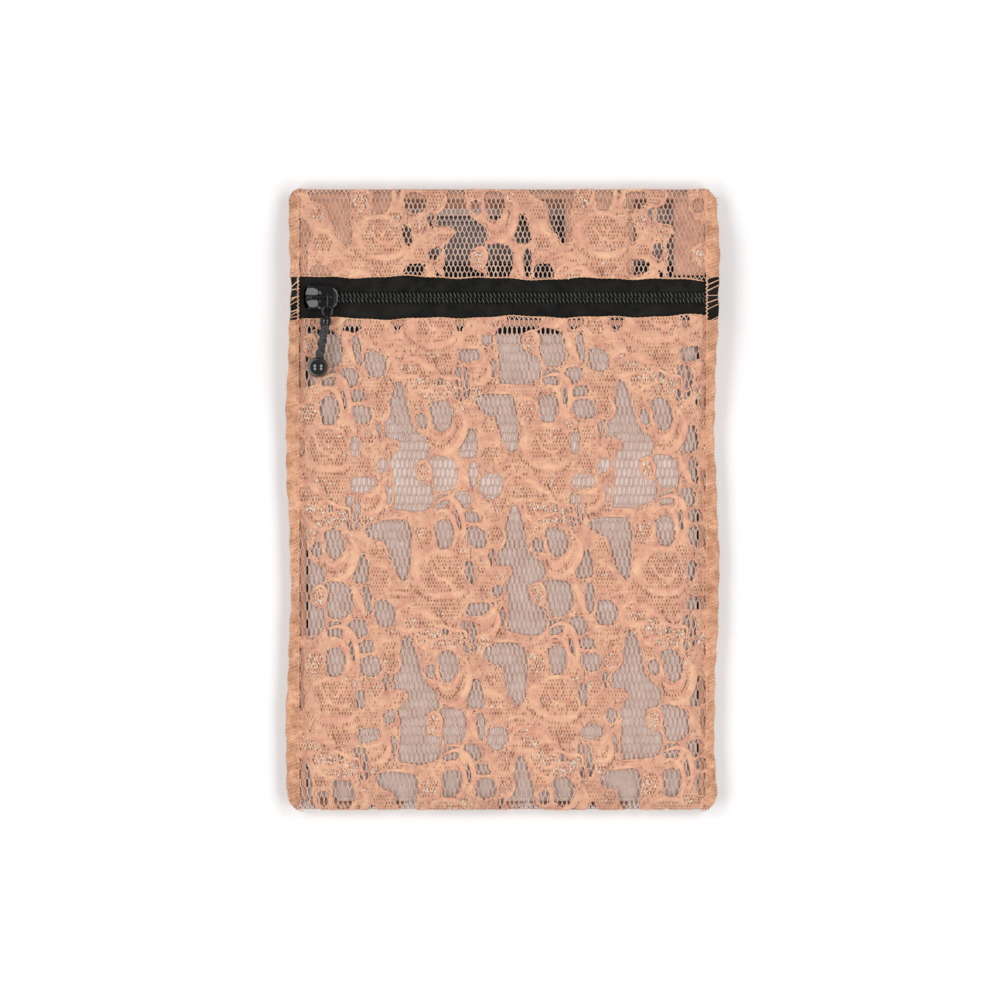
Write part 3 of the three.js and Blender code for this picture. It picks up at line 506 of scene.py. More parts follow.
# Outlines of pierced ground, each with its share of metallic grains
PIERCED = (
    (0.12, ((-32.6, -16.6), (-27.8, -16.1), (-24.2, -18.2), (-22.7, -22), (-23.6, -26.2), (-26.9, -26.8),
            (-29.6, -25), (-32.9, -25.4), (-34.2, -21.6))),
    (0.5, ((-40.2, -35), (-37.4, -34.2), (-34.8, -34.8), (-35, -37.6), (-39.4, -38))),
    (0.3, ((-38.3, -39.5), (-35.8, -38.8), (-33.8, -39.4), (-34.4, -42.4), (-37.6, -42.6))),
    (0.2, ((-33.9, -36), (-30.8, -36.8), (-29.7, -40.6), (-32.9, -40.3))),
    (0.3, ((-41.8, -31), (-36.7, -29.5), (-36.2, -31.4), (-39.9, -33.3))),
    (0.15, ((-32.5, -31), (-26.9, -30.4), (-24.1, -33), (-25, -35.2), (-29.6, -34.8))),
    (0.2, ((-14.8, -8.2), (-11.6, -7.2), (-9.9, -9.6), (-12, -12.8), (-15, -11.9))),
    (0.75, ((-1.5, -26.4), (0.6, -25.6), (2, -28.2), (1, -31), (-1.2, -29.6))),
    (0.3, ((-19, -17), (-15.8, -16.1), (-14.8, -18.4), (-16.6, -20.6), (-19.2, -20.2))),
    (0.1, ((-19.2, -25.8), (-16.2, -25.4), (-15.5, -28.2), (-18, -29.1), (-19.4, -27.6))),
    (0.1, ((-11.6, -21.1), (-8.8, -20.5), (-7.6, -21.2), (-9.2, -22.9), (-11.5, -23))),
    (0.1, ((-49.6, -13), (-47, -12.7), (-45.6, -15.6), (-48.2, -17.2), (-50.6, -15.4))),
    (0.25, ((-48.8, -21.6), (-45.6, -21.6), (-44.6, -24.8), (-47.2, -26.3), (-49.6, -24.4))),
    (0.2, ((-14.4, 0.2), (-10.8, 0.8), (-9.9, -1.6), (-12.8, -2.7))),
    (0.6, ((9.2, -8.4), (11.2, -8.2), (11.9, -10), (10.3, -11.6), (9.3, -10.4))),
    (0.45, ((-38, -8.6), (-34.8, -7.2), (-32.8, -9.6), (-33.9, -13.2), (-37.5, -13.7))),
    (0.7, ((-3.2, -0.3), (1, 0.4), (5.6, -1.2), (10, -1.4), (9.8, -4), (7.6, -6.2), (2, -6.4), (-0.9, -4.6))),
    (0.1, ((-3.2, -7.5), (0, -7.4), (0.4, -9.5), (-2.7, -9.9))),
    (0.75, ((14.6, -2.8), (17.2, -3.2), (17.4, -6.6), (15, -7.2))),
    (0.5, ((-25.9, -14.4), (-22.8, -13.9), (-22.3, -16.4), (-25.4, -17))),
    (0.2, ((-47.6, -0.6), (-44.2, -0.8), (-44.4, -4), (-47.4, -4.2))),
)

# Rows of dark dashes: painted shade for the gaps between stitches
ROWS = (
    ((2.2, -16.8), (3.3, -19.8), (5.6, -20.9), (8.4, -19.3), (10, -16), (10.3, -14.2)),
    ((2.6, -17.1), (4.8, -17.2), (6.4, -16.9)),
    ((-31.4, -1.8), (-28.8, -1.5), (-26.4, -2.6), (-25, -4.8)),
    ((-18.5, -39), (-16.2, -39.3), (-13.9, -37.5), (-13.3, -35.6)),
    ((-17.1, -43), (-13.9, -42), (-11.6, -39.4)),
    ((-38.2, -24.8), (-36.9, -26.8), (-34.6, -28.2), (-32.6, -29.4), (-29.2, -29.6)),
    ((-36.9, -26), (-35.2, -27.4)),
    ((-27, -29.6), (-24, -29), (-21.8, -26.8)),
    ((-44.4, -28.4), (-41, -27.2), (-38.6, -26.8)),
    ((-43.6, -29.2), (-41.4, -28.4)),
    ((-30, -32.4), (-28.6, -35.8), (-27.4, -37.4)),
    ((-20.6, -13.6), (-20.4, -17.8)),
    ((-14.3, -4.4), (-12.2, -4), (-10.2, -3.6)),
    ((-13.8, -5.6), (-10.6, -5)),
    ((8.8, -26), (9.2, -33.6)),
    ((2.6, -33.2), (3, -36.4), (2.2, -39)),
    ((-10.8, -29.4), (-13.4, -31)),
    ((-1.4, -16.8), (1.9, -18.4)),
    ((5, 0.4), (8.8, 1.4)),
    ((-42.6, -38.6), (-40.6, -41.4)),
)

# Raised satin petals and crescents: greatest width and path
SATIN = (
    (2.6, ((9.6, -8.6), (12, -12.4), (12, -17), (9.8, -21.2), (6.6, -22.9), (3.3, -22))),
    (2.0, ((2.1, -16.6), (4.7, -18.4), (7.9, -17), (9.4, -13.6))),
    (1.3, ((2.1, -10.4), (1.8, -13.4), (2.8, -15.6))),
    (2.1, ((-31.4, -0.4), (-27.6, 0.9), (-24.2, -0.8), (-22.8, -4.8), (-22.7, -9), (-24, -12.6))),
    (1.7, ((-31.4, -4.2), (-29.2, -2.7), (-26.4, -4.4), (-25.3, -7.8), (-25.4, -11.4), (-26.9, -14.4))),
    (1.9, ((-19, -35.4), (-15.4, -35), (-13.3, -32.2))),
    (2.2, ((-18.2, -40.8), (-13.8, -40), (-12.3, -36.4), (-12.9, -33.4))),
    (2.6, ((10.9, -24.2), (12.4, -29), (14.2, -33.8))),
    (3.3, ((-36, -16.8), (-37, -21), (-35, -25))),
    (2.7, ((-34.2, -27), (-29.7, -28.1), (-25, -27.7), (-22.6, -25.8))),
    (1.7, ((-35, -16.6), (-31.6, -15.1), (-27, -15.2), (-24, -16.8))),
    (1.1, ((-32.4, -19), (-30.4, -22.6), (-27, -23.6), (-24.6, -22.2))),
    (0.9, ((-30.6, -19), (-28.4, -20.6), (-27.2, -18.8))),
    (1.1, ((-26.6, -25.2), (-28.4, -23.2))),
    (1.6, ((-43.2, -36), (-42.4, -32.8), (-39.6, -30.9), (-37, -31.6))),
    (2.3, ((-39.6, -33.4), (-35, -32.4), (-32.2, -34.8), (-29, -35.6))),
    (2.0, ((-41.4, -38.6), (-38.4, -38.4), (-34, -38))),
    (1.6, ((-34, -41), (-32, -42.6), (-29, -41.6))),
    (1.0, ((-15.4, -12.4), (-11.6, -13.4), (-9.8, -9.8), (-11.4, -6.8))),
    (0.9, ((-19.6, -20.6), (-16.4, -21.2), (-14.4, -18.6), (-15.6, -15.6))),
    (0.9, ((-38.4, -8.4), (-34.6, -6.6), (-32.3, -9.4), (-33.6, -13.6))),
    (1.2, ((-4.4, 0.6), (-3.8, -3.6), (-0.8, -6.4), (3, -7))),
    (1.4, ((0.4, -1), (3.4, 1), (7.2, -0.4), (10.6, -0.8), (11, -3.8))),
    (1.0, ((3, -3.4), (5.4, -2.6), (6.8, -4.2))),
    (0.8, ((-22.6, -7.2), (-15.6, -7))),
    (0.7, ((-9.4, -40.2), (-3.6, -40.8))),
    (1.3, ((-46.4, -28.6), (-42, -27.6), (-38.4, -27.8))),
    (1.5, ((-50, -19.4), (-46.2, -20.2), (-44.2, -22.4))),
    (1.3, ((-47.8, -5), (-43.8, -4.8), (-40, -5.2))),
    (1.2, ((6.4, -42), (9, -40), (9.2, -36.4))),
    (1.2, ((-1.8, -25.8), (1, -24.8), (2.6, -27.6), (1.6, -31.4))),
)
RIM = 0.5
RIM_HEIGHT = 0.7
RIM_UNEVEN = 0.25
RIM_PACE = 0.9
RAGGED = 0.2
RAGGED_ACROSS = ((1, 1, 1 / 5.3, 0),)
RAGGED_ALONG = ((1, 1 / 5.9, -1, 0),)
WINDOW_GROWTH = 0.55
PETAL_TIP = 0.4
PETAL_SWELL = 0.8
SMALL_WANDER = 0.3
WANDER_ACROSS = ((0.4, 6.3, 8.9, 0),)
WANDER_ALONG = ((0.4, -9.1, 6.7, 0.9),)
REPEATS = range(-6, 7)
WINDOW_STEPS = 10
PETAL_STEPS = 5
PIERCED_STEPS = 4
ROW_STEPS = 40


def swelling(count, most):
    """Widths of a petal, which swells from both tips to its middle."""
    share = np.sin(np.linspace(0, math.pi, count)) ** PETAL_SWELL
    return PETAL_TIP + (most - PETAL_TIP) * share


def through(points, steps, closed=False):
    """Smooth path through a few points."""
    points = np.asarray(points, float)
    if closed:
        padded = np.concatenate([points[-1:], points, points[:2]])
    else:
        padded = np.concatenate([2 * points[:1] - points[1:2], points, 2 * points[-1:] - points[-2:-1]])
    stations = np.linspace(0, len(padded) - 3, steps, endpoint=not closed)
    i = np.minimum(stations.astype(int), len(padded) - 4)
    t = (stations - i)[:, None]
    a, b, c, d = padded[i], padded[i + 1], padded[i + 2], padded[i + 3]
    square = 2 * a - 5 * b + 4 * c - d
    cube = 3 * b - a - 3 * c + d
    return (2 * b + (c - a) * t + square * t * t + cube * t ** 3) / 2


def grown(outline, amount):
    """Closed outline moved outward all round."""
    along = np.roll(outline, -1, axis=0) - np.roll(outline, 1, axis=0)
    x, y = outline.T
    turn = np.sign(np.sum(x * np.roll(y, -1) - y * np.roll(x, -1)))
    normal = np.stack([along[:, 1], -along[:, 0]], axis=-1) * turn
    return outline + amount * normal / np.maximum(np.linalg.norm(normal, axis=1, keepdims=True), TINY)


def wandering(points):
    """Cloth points moved a little, so that no two repeats are drawn quite alike."""
    x, y = points.T
    across = SMALL_WANDER * bent_wave(y, x, length=2.9, bend=0.8, bend_length=7.1)
    across += waves(WANDER_ACROSS, x, y)
    along = SMALL_WANDER * bent_wave(x, y, length=3.1, bend=1.1, bend_length=8.3)
    along += waves(WANDER_ALONG, x, y)
    return points + np.stack([across, along], axis=-1)


def ragged(outline):
    """Outline with the small steps that the threads leave."""
    x, y = outline.T
    across = bent_wave(y, x, length=1 / 2.9, bend=1.7, bend_length=1 / 1.3) + waves(RAGGED_ACROSS, x, y)
    along = bent_wave(x, y, length=1 / 3.7, bend=1.3, bend_length=1 / 1.1) + waves(RAGGED_ALONG, x, y)
    return outline + RAGGED * np.stack([across, along], axis=-1)


def places(path, anchor, field):
    """A path of the repeat wherever it falls on a field of cloth."""
    west, east, low, high = field
    for row in REPEATS:
        for column in REPEATS:
            at = path + np.array(anchor) + column * REPEAT_ACROSS + row * REPEAT_DOWN
            left, bottom = at.min(axis=0)
            right, top = at.max(axis=0)
            if left < east and right > west and bottom < high and top > low:
                yield wandering(at)


# Lace ground

COVER_STEP = 0.2


class Cover:
    """Raster of where something lies on a field of cloth."""

    def __init__(self, field):
        self.west, east, self.low, high = field
        self.columns = int((east - self.west) / COVER_STEP) + 2
        self.rows = int((high - self.low) / COVER_STEP) + 2
        self.grid = np.zeros((self.rows, self.columns), bool)

    def window(self, low, high):
        """The part of the raster between two corners, and its places across and along."""
        i0, j0 = np.floor((low - (self.west, self.low)) / COVER_STEP).astype(int)
        i1, j1 = np.ceil((high - (self.west, self.low)) / COVER_STEP).astype(int) + 1
        i0, i1 = np.clip((i0, i1), 0, self.columns)
        j0, j1 = np.clip((j0, j1), 0, self.rows)
        xs = self.west + np.arange(i0, i1) * COVER_STEP
        ys = self.low + np.arange(j0, j1) * COVER_STEP
        return (slice(j0, j1), slice(i0, i1)), *np.meshgrid(xs, ys)

    def add_path(self, path, widths):
        for start, end, width in zip(path[:-1], path[1:], np.maximum(widths[:-1], widths[1:])):
            reach = width / 2
            part, x, y = self.window(np.minimum(start, end) - reach, np.maximum(start, end) + reach)
            run = end - start
            share = ((x - start[0]) * run[0] + (y - start[1]) * run[1]) / max(run @ run, TINY)
            share = np.clip(share, 0, 1)
            gap = np.hypot(x - start[0] - share * run[0], y - start[1] - share * run[1])
            self.grid[part] |= gap < reach

    def add_outline(self, outline):
        part, x, y = self.window(outline.min(axis=0), outline.max(axis=0))
        inside = np.zeros(x.shape, bool)
        for start, end in zip(outline, np.roll(outline, -1, axis=0)):
            crosses = (start[1] > y) != (end[1] > y)
            rise = end[1] - start[1]
            meets = start[0] + (y - start[1]) * (end[0] - start[0]) / (rise if abs(rise) > TINY else TINY)
            inside ^= crosses & (x < meets)
        self.grid[part] |= inside

    def share(self, west, east):
        """How much of the field between two places across is covered."""
        i0, i1 = np.round((np.array([west, east]) - self.west) / COVER_STEP).astype(int)
        return self.grid[:, i0:i1].mean()

    def at(self, points):
        """Which points are covered."""
        i = np.clip(np.round((points[..., 0] - self.west) / COVER_STEP).astype(int), 0, self.columns - 1)
        j = np.clip(np.round((points[..., 1] - self.low) / COVER_STEP).astype(int), 0, self.rows - 1)
        return self.grid[j, i]


# Meshes of cells: pitch, height of a row and the share of it that the side walls fill
FRONT_MESH = (1.45, 2.7, 0.58)
BAND_MESH = (1.36, 1.75, 0.6)
FILL_MESH = (0.86, 1.1, 0.5)
NET_HOLE = (0.7, 0.9)
NET_SPREAD = 0.07
NET_HALF = 0.11
FILL_HOLE = (0.48, 0.62)
FILL_SPREAD = 0.2
FILL_HALF = 0.2
HOLE_DRIFT = 0.04
HOLE_LEAST = 0.05
HOLE_MOST = 0.9
NARROW = 1
WIDE = 2
NARROW_PIT = 0.8
SCATTERED_PITS = 0.95
PIT_WAVES = ((1, math.inf, 4.9, 0.7),)
PIT_SHARE = 0.55
PIT_SWING = 0.4
PIT_LEAST = 0.1
ACROSS = np.array([-1, -0.62, 0, 0.62, 1])
DOME = np.array([0.3, 0.85, 1, 0.85, 0.3])
DASH = 0.5
DASH_START = 0.3
DASH_EVERY = 1.0
DASH_LEAN = 0.3
DASH_LENGTHS = (0.5, 1.3)
DASH_WIDTH = 0.36
DASH_WIDTHS = (0.7, 1.3)
DASH_HEIGHT = 0.24
GRAINS_PER_SQUARE = 1.8
GRAIN_TURN = 0.7
GRAIN_LENGTHS = (0.24, 0.6)
GRAIN_HALF = 0.2
GRAIN_HEIGHT = 0.16
GRAIN_POINTS = 6
GRAIN_FACES = np.array([(0, 1, 4), (1, 2, 4), (2, 3, 4), (3, 0, 4),
                        (1, 0, 5), (2, 1, 5), (3, 2, 5), (0, 3, 5)])


def hexagons(field, pitch, row, upright):
    """Centres and corners of the cells of a mesh."""
    west, east, low, high = field
    rows = np.arange(math.floor(low / row), math.ceil(high / row) + 1)
    columns = np.arange(math.floor(west / pitch) - 1, math.ceil(east / pitch) + 1)
    x = (columns[None, :] + 0.5 * (rows[:, None] % 2)) * pitch
    y = np.broadcast_to(rows[:, None] * row, x.shape)
    shoulder = row * upright / 2
    top = row - shoulder
    half = pitch / 2
    corners = [(0, top), (half, shoulder), (half, -shoulder),
               (0, -top), (-half, -shoulder), (-half, shoulder)]
    return np.stack([x, y], axis=-1).reshape(-1, 2), np.array(corners)


def at_height(flat, height):
    return np.column_stack([flat, np.full(len(flat), height)])


def after(ring):
    """The corner after each corner of some rings."""
    return np.roll(ring, -1, axis=1)


def cells_of(centres, corners):
    """Shared corner points of cells, the cells as rings of them, and the walls round the cells' outer rim."""
    outer = centres[:, None] + corners
    ridge, ring = np.unique(np.round(outer.reshape(-1, 2), WELD_DIGITS), axis=0, return_inverse=True)
    ring = ring.reshape(-1, len(corners))
    edges = set(zip(ring.ravel().tolist(), after(ring).ravel().tolist()))
    rim = np.array([(a, b) for a, b in sorted(edges) if (b, a) not in edges]).reshape(-1, 2)
    start, end = rim.T
    return ridge, ring, quads(start, end, end + len(ridge), start + len(ridge))


def holes_in(centres, corners, hole, spread):
    """Corners of the hole in each cell, each a little off its place and size."""
    count = len(centres)
    drift = rng.normal(0, HOLE_DRIFT * corners[1, 0], (count, 1, 2))
    sizes = np.array(hole) * rng.normal(1, spread, (count, 1, 1))
    return centres[:, None] + drift + corners * np.clip(sizes, HOLE_LEAST, HOLE_MOST)


def two_layers(ridge, inner, half):
    """Ridge points above and below the cloth, hole points in its middle, and the rings of those."""
    points = [at_height(ridge, half), at_height(ridge, -half), at_height(inner.reshape(-1, 2), 0)]
    return np.concatenate(points), 2 * len(ridge) + np.arange(inner.size // 2).reshape(inner.shape[:2])


def net_ground(centres, corners):
    """Open net: threads with a ridge above and below round the hole of each cell."""
    ridge, ring, walls = cells_of(centres, corners)
    inner = holes_in(centres, corners, NET_HOLE, NET_SPREAD)
    points, hole = two_layers(ridge, inner, NET_HALF)
    below = ring + len(ridge)
    return Build((points, [quads(ring, hole, after(hole), after(ring)),
                           quads(below, after(below), after(hole), hole), walls]))


def plate_ground(centres, corners, pits):
    """Close ground of flat cells, some with a narrow or a wide pit whose floors are brown faces of painted
    shade, each kind with a look of its own.
    """
    ridge, ring, walls = cells_of(centres, corners)
    pitted = pits > 0
    kinds = pits[pitted]
    middles = centres[pitted][:, None]
    inner = holes_in(centres[pitted], corners, FILL_HOLE, FILL_SPREAD)
    inner = np.where((kinds == NARROW)[:, None, None], middles + NARROW_PIT * (inner - middles), inner)
    points, hole = two_layers(ridge, inner, FILL_HALF)
    slopes = quads(ring[pitted], hole, after(hole), after(ring[pitted]))
    ground = Build((points, [slopes, ring[~pitted][:, ::-1], ring + len(ridge), walls]))
    # Pit floors are painted shade: brown faces that close each hole.
    for kind in (NARROW, WIDE):
        ground.blocks.append((hole[kinds == kind][:, ::-1], kind))
    return ground


def ribbon(path, widths, height):
    """Satin-stitched ribbon with a domed top and a flat underside."""
    along = np.gradient(path, axis=0)
    along /= np.maximum(np.linalg.norm(along, axis=1, keepdims=True), TINY)
    left = np.stack([-along[:, 1], along[:, 0]], axis=-1)
    flat = path[:, None] + left[:, None] * ACROSS[None, :, None] * widths[:, None, None] / 2
    heights = np.broadcast_to(height * DOME, flat.shape[:2])[..., None]
    return loft(np.concatenate([flat, heights], axis=-1)[:, ::-1])


def within(points, cloth):
    """Which points lie on a cloth: a field and the two edges that cut it."""
    field, low, high = cloth
    x, y = points[..., 0], points[..., 1]
    return (x >= field[0]) & (x <= field[1]) & (y >= low(x)) & (y <= high(x))


def clipped(points, cloth):
    """Points past the edges of a cloth, moved onto them."""
    field, low, high = cloth
    x = np.clip(points[:, 0], field[0], field[1])
    y = np.clip(points[:, 1], low(x), high(x))
    return np.column_stack([x, y, points[:, 2]])


def between(points, west, east):
    """Which points lie between two places across."""
    return (points[:, 0] >= west) & (points[:, 0] < east)


def part_of(build, west, east):
    """The faces of a build that lie between two places across."""
    points = np.concatenate(build.points)
    chosen = Build()
    chosen.points = [points]
    for faces, kind in build.blocks:
        kept = faces[between(points[faces, :1].mean(axis=1), west, east)]
        if len(kept):
            chosen.blocks.append((kept, kind))
    return chosen


def grain(at, level):
    """Short grains of metallic thread lying on the lace; their near-white colour is a painted glint."""
    count = len(at)
    turn = rng.normal(math.pi / 2, GRAIN_TURN, count)
    long = rng.uniform(*GRAIN_LENGTHS, count)
    run = at_height(np.stack([np.cos(turn), np.sin(turn)], axis=-1) * long[:, None], 0)
    side = at_height(np.stack([-np.sin(turn), np.cos(turn)], axis=-1) * GRAIN_HALF, 0)
    up = np.array([0, 0, GRAIN_HEIGHT])
    centre = at_height(at, level)
    points = np.stack([centre + step for step in (run, side, -run, -side, up, -up)], axis=1)
    faces = GRAIN_FACES + GRAIN_POINTS * np.arange(count)[:, None, None]
    return points.reshape(-1, 3), [faces.reshape(-1, 3)]


def dashes(row):
    """Short upright dark dashes along a row: painted shade for the gaps between stitches."""
    steps = np.linalg.norm(np.diff(row, axis=0), axis=1)
    along = np.concatenate([[0], np.cumsum(steps)])
    stations = np.arange(DASH_START, along[-1], DASH_EVERY)
    for middle in zip(np.interp(stations, along, row[:, 0]), np.interp(stations, along, row[:, 1])):
        lean = rng.normal(0, DASH_LEAN)
        half = np.array([math.sin(lean), math.cos(lean)]) * DASH * rng.uniform(*DASH_LENGTHS)
        yield np.stack([middle - half, middle + half]), np.full(2, DASH_WIDTH * rng.uniform(*DASH_WIDTHS))


def lace_covers(field, anchor):
    """Windows, satin ribbons and pierced ground of a field of lace."""
    windows = Cover(field)
    ribbons = []
    for points in WINDOWS:
        outline = grown(through(points, WINDOW_STEPS * len(points), closed=True), WINDOW_GROWTH)
        for found in map(ragged, places(outline, anchor, field)):
            windows.add_outline(found)
            rim = np.concatenate([found, found[:2]])
            widths = RIM * (1 + RIM_UNEVEN * np.sin(np.arange(len(rim)) * RIM_PACE))
            ribbons.append((rim, widths, RIM_HEIGHT * RAISED))
    for width, points in SATIN:
        steps = PETAL_STEPS * len(points)
        for path in places(through(points, steps), anchor, field):
            ribbons.append((path, swelling(steps, width), RAISED))
    satin = Cover(field)
    for path, widths, _ in ribbons:
        satin.add_path(path, widths)
    pierced = Cover(field)
    sparkling = []
    for share, points in PIERCED:
        for outline in places(through(points, PIERCED_STEPS * len(points), closed=True), anchor, field):
            pierced.add_outline(outline)
            sparkling.append((share, outline))
    return windows, ribbons, satin, pierced, sparkling


def sparkles(sparkling, satin, cloth):
    """Places of the metallic grains, gathered on the pierced ground."""
    chosen = []
    for share, outline in sparkling:
        least, most = outline.min(axis=0), outline.max(axis=0)
        count = rng.poisson(share * GRAINS_PER_SQUARE * np.prod(most - least))
        spots = rng.uniform(least, most, (count, 2))
        ground = Cover((least[0], most[0], least[1], most[1]))
        ground.add_outline(outline)
        chosen.append(spots[ground.at(spots)])
    chosen = np.concatenate(chosen)
    return chosen[within(chosen, cloth) & ~satin.at(chosen)]


def embroidery(ribbons, windows, anchor, cloth):
    """Raised satin, the rims of the windows and the rows of dark dashes of painted shade, cut at the edges of
    the cloth.
    """
    motifs = Build(*(ribbon(*row) for row in ribbons))
    for points in ROWS:
        for row in places(through(points, ROW_STEPS), anchor, cloth[0]):
            for path, widths in dashes(row):
                if not windows.at(path.mean(axis=0)):
                    motifs.add(*ribbon(path, widths, DASH_HEIGHT), kind=1)
    points = np.concatenate(motifs.points)
    inside = within(points, cloth)
    motifs.blocks = [(faces[inside[faces].any(axis=1)], kind) for faces, kind in motifs.blocks]
    motifs.points = [clipped(points, cloth)]
    return motifs


def pits_of(centres, pierced, satin):
    """Which cells of the close ground have a narrow or a wide pit; 0 is for none."""
    x, y = centres.T
    loose = bent_wave(x, y, length=3.7, bend=1.3, bend_length=6.1) + waves(PIT_WAVES, x, y)
    chance = SCATTERED_PITS * np.clip(PIT_SHARE + PIT_SWING * loose, PIT_LEAST, 1)
    pits = np.where(rng.uniform(size=len(centres)) < chance, NARROW, 0)
    pits[pierced.at(centres)] = WIDE
    pits[satin.at(centres)] = 0
    return pits


def lace(cloth, anchor, drape, mesh, spans):
    """Ground, motifs, net and metallic thread for each span of a cloth of lace, and its windows."""
    field = cloth[0]
    windows, ribbons, satin, pierced, sparkling = lace_covers(field, anchor)
    motifs = embroidery(ribbons, windows, anchor, cloth)
    close, close_corners = hexagons(field, *FILL_MESH)
    close = close[within(close[:, None] + close_corners, cloth).any(axis=1) & ~windows.at(close)]
    pits = pits_of(close, pierced, satin)
    cells, cell_corners = hexagons(field, *mesh)
    outlines = cells[:, None] + cell_corners
    cells = cells[windows.at(outlines).any(axis=1) & within(outlines, cloth).any(axis=1)]
    glints = sparkles(sparkling, satin, cloth)
    layers = []
    for span in spans:
        here = between(close, *span)
        ground = plate_ground(close[here], close_corners, pits[here])
        net = net_ground(cells[between(cells, *span)], cell_corners)
        for build in (ground, net):
            build.shape(lambda points: clipped(points, cloth))
        glitter = Build(grain(glints[between(glints, *span)], FILL_HALF + GRAIN_HEIGHT / 2))
        layers.append([build.shape(drape) for build in (ground, part_of(motifs, *span), net, glitter)])
    return layers, windows


# Lace laid on the case

PARTS = ("left", "middle", "right")
SPANS = ((-math.inf, -MOUTH_HALF), (-MOUTH_HALF, MOUTH_HALF), (MOUTH_HALF, math.inf))
WHOLE = ((-math.inf, math.inf),)
CLOTH_HALF = PANEL_HALF + 1.9
HALF_FOLD = math.pi * FOLD_RADIUS
FOLD_ROOM = 0.7
EDGE_ROOM = 2
EDGE_TAPER = 0.5
EDGE_WAVES = ((0.28, 4.3, 1, 0), (0.22, 9.9, 0.5, 0), (0.12, 1.7, math.inf, 0))
FRONT_PHASE = 0.7
BAND_PHASE = 2.1
FRONT_ANCHOR = (43.3, 37.8)
BAND_ANCHOR = (-7.7, 101.5)
BACK_ANCHOR = (12.0, 20.0)
FRONT_FIELD = (-CLOTH_HALF, CLOTH_HALF, -FOLD_Y - HALF_FOLD, FRONT_EDGE + EDGE_ROOM)
BAND_FIELD = (-CLOTH_HALF, CLOTH_HALF, BAND_EDGE - EDGE_ROOM, FOLD_Y + HALF_FOLD)
BACK_FIELD = (-CLOTH_HALF, CLOTH_HALF, -FOLD_Y, FOLD_Y - FOLD_ROOM)
GROUND_LOOKS = [LACE_GROUND, LACE_PAINTED_SHADE_PALE, LACE_PAINTED_SHADE_DEEP]
MOTIF_LOOKS = [LACE_SATIN, LACE_PAINTED_SHADE_DEEP]


def on_front(points):
    """Cloth points (x, along, raised) laid over the front and round the folds at both ends."""
    x, along, raised = points.T
    bend = np.maximum(0, np.abs(along) - FOLD_Y) / FOLD_RADIUS
    radius = FOLD_RADIUS + raised - LACE_MIDDLE
    flat = front_height(x, np.clip(along, -FOLD_Y, FOLD_Y)) + raised - LACE_MIDDLE
    y = np.where(bend > 0, np.sign(along) * (FOLD_Y + radius * np.sin(bend)), along)
    z = np.where(bend > 0, SEAM_Z + radius * np.cos(bend), flat)
    return np.column_stack([x, y, z])


def on_back(points):
    """Cloth points (x, along, raised) laid under the back."""
    x, along, raised = points.T
    return np.column_stack([-x, along, back_height(x, along) + LACE_MIDDLE - raised])


def wavy(x, phase):
    """Unevenness of a cut edge of the lace."""
    return waves(EDGE_WAVES, x, phase)


def front_edge(x):
    return FRONT_EDGE + EDGE_TAPER * x / PANEL_HALF + wavy(x, FRONT_PHASE)


def band_edge(x):
    return BAND_EDGE - EDGE_TAPER * x / PANEL_HALF + wavy(x, BAND_PHASE)


def level(value):
    """Straight edge of a cloth."""
    return lambda x: np.full(np.shape(x), value)


def parts_across(build, looks, name):
    """Left, middle and right pieces of something that lifts with the mouth."""
    return [make(f"{name}_{part}", part_of(build, *span), looks) for part, span in zip(PARTS, SPANS)]


def lift(pieces):
    """The middle lifts with the mouth, and the ends keep their place."""
    left, middle, right = pieces
    for piece, side in ((left, -1), (right, 1)):
        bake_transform(piece)
    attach(middle, "mouth_flap")


def lace_pieces(place, builds, node_name):
    """Pieces of one span of lace; its ground stands for the CAD node."""
    ground, motifs, net, glitter = builds
    made = [make(f"lace_{place}_ground", ground, GROUND_LOOKS),
            make(f"lace_{place}_motifs", motifs, MOTIF_LOOKS),
            make(f"lace_{place}_net", net, [LACE_NET]),
            make(f"lace_{place}_glints", glitter, [METALLIC_THREAD_PAINTED_GLINT], smooth=False)]
    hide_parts(node_name)
    return made


def panel_lace(place, cloth, anchor, drape, mesh):
    """Front or back panel of lace, which stays with the pouch."""
    layers, windows = lace(cloth, anchor, drape, mesh, WHOLE)
    pieces = lace_pieces(place, layers[0], f"lace_{place}_panel")
    for piece in pieces:
        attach(piece, "pouch")
    return pieces, windows


def band_lace():
    """Band of lace above the zip, whose middle lifts with the mouth."""
    cloth = (BAND_FIELD, band_edge, level(BAND_FIELD[3]))
    layers, windows = lace(cloth, BAND_ANCHOR, on_front, BAND_MESH, SPANS)
    spans = [lace_pieces(f"band_{part}", builds, f"lace_band_{part}") for part, builds in zip(PARTS, layers)]
    for pieces in zip(*spans):
        lift(pieces)
    return spans, windows


# Facings and edge threads of the lace

FACING_DEPTH = 0.75
FACING_THICK = 0.15
FACING_STEP = 1.2
FACING_WAVE = 0.05
FACING_START = BAND_EDGE + 0.8
FACING_END = FOLD_Y - 0.3
FOLD_FACING = 91.4
BACK_FACING = 84.0
LINING_DEPTH = FACING_DEPTH + 0.1
LINING_COLUMNS = 100
LINING_ROWS = 8
LIP_RADIUS = FOLD_RADIUS + 0.1
LIP_REACH = 0.95
LIP_ROWS = 14
HEM_END = 52.7
HEM_EDGE = FRONT_EDGE - 0.7
ALLOWANCE_INSIDE = PANEL_HALF - 1.3
ALLOWANCE_OUTSIDE = PANEL_HALF + 0.7
ALLOWANCE_BOTTOM = -FOLD_Y + 2
BACKED = ((-ALLOWANCE_OUTSIDE, -30.5), (19.0, 40.0), (52.0, ALLOWANCE_OUTSIDE))
EDGE_THREAD = 0.2
EDGE_INSET = 0.1
EDGE_RISE = 0.12
EDGE_SWAY = ((0.06, 1 / 4.1, 1, 0),)
EDGE_BOB = ((0.05, 1 / 5.3, 1, 0),)
EDGE_STEPS = 500


def dimples(x, y, height, across, along):
    return height * np.sin(x / across) * np.sin(y / along)


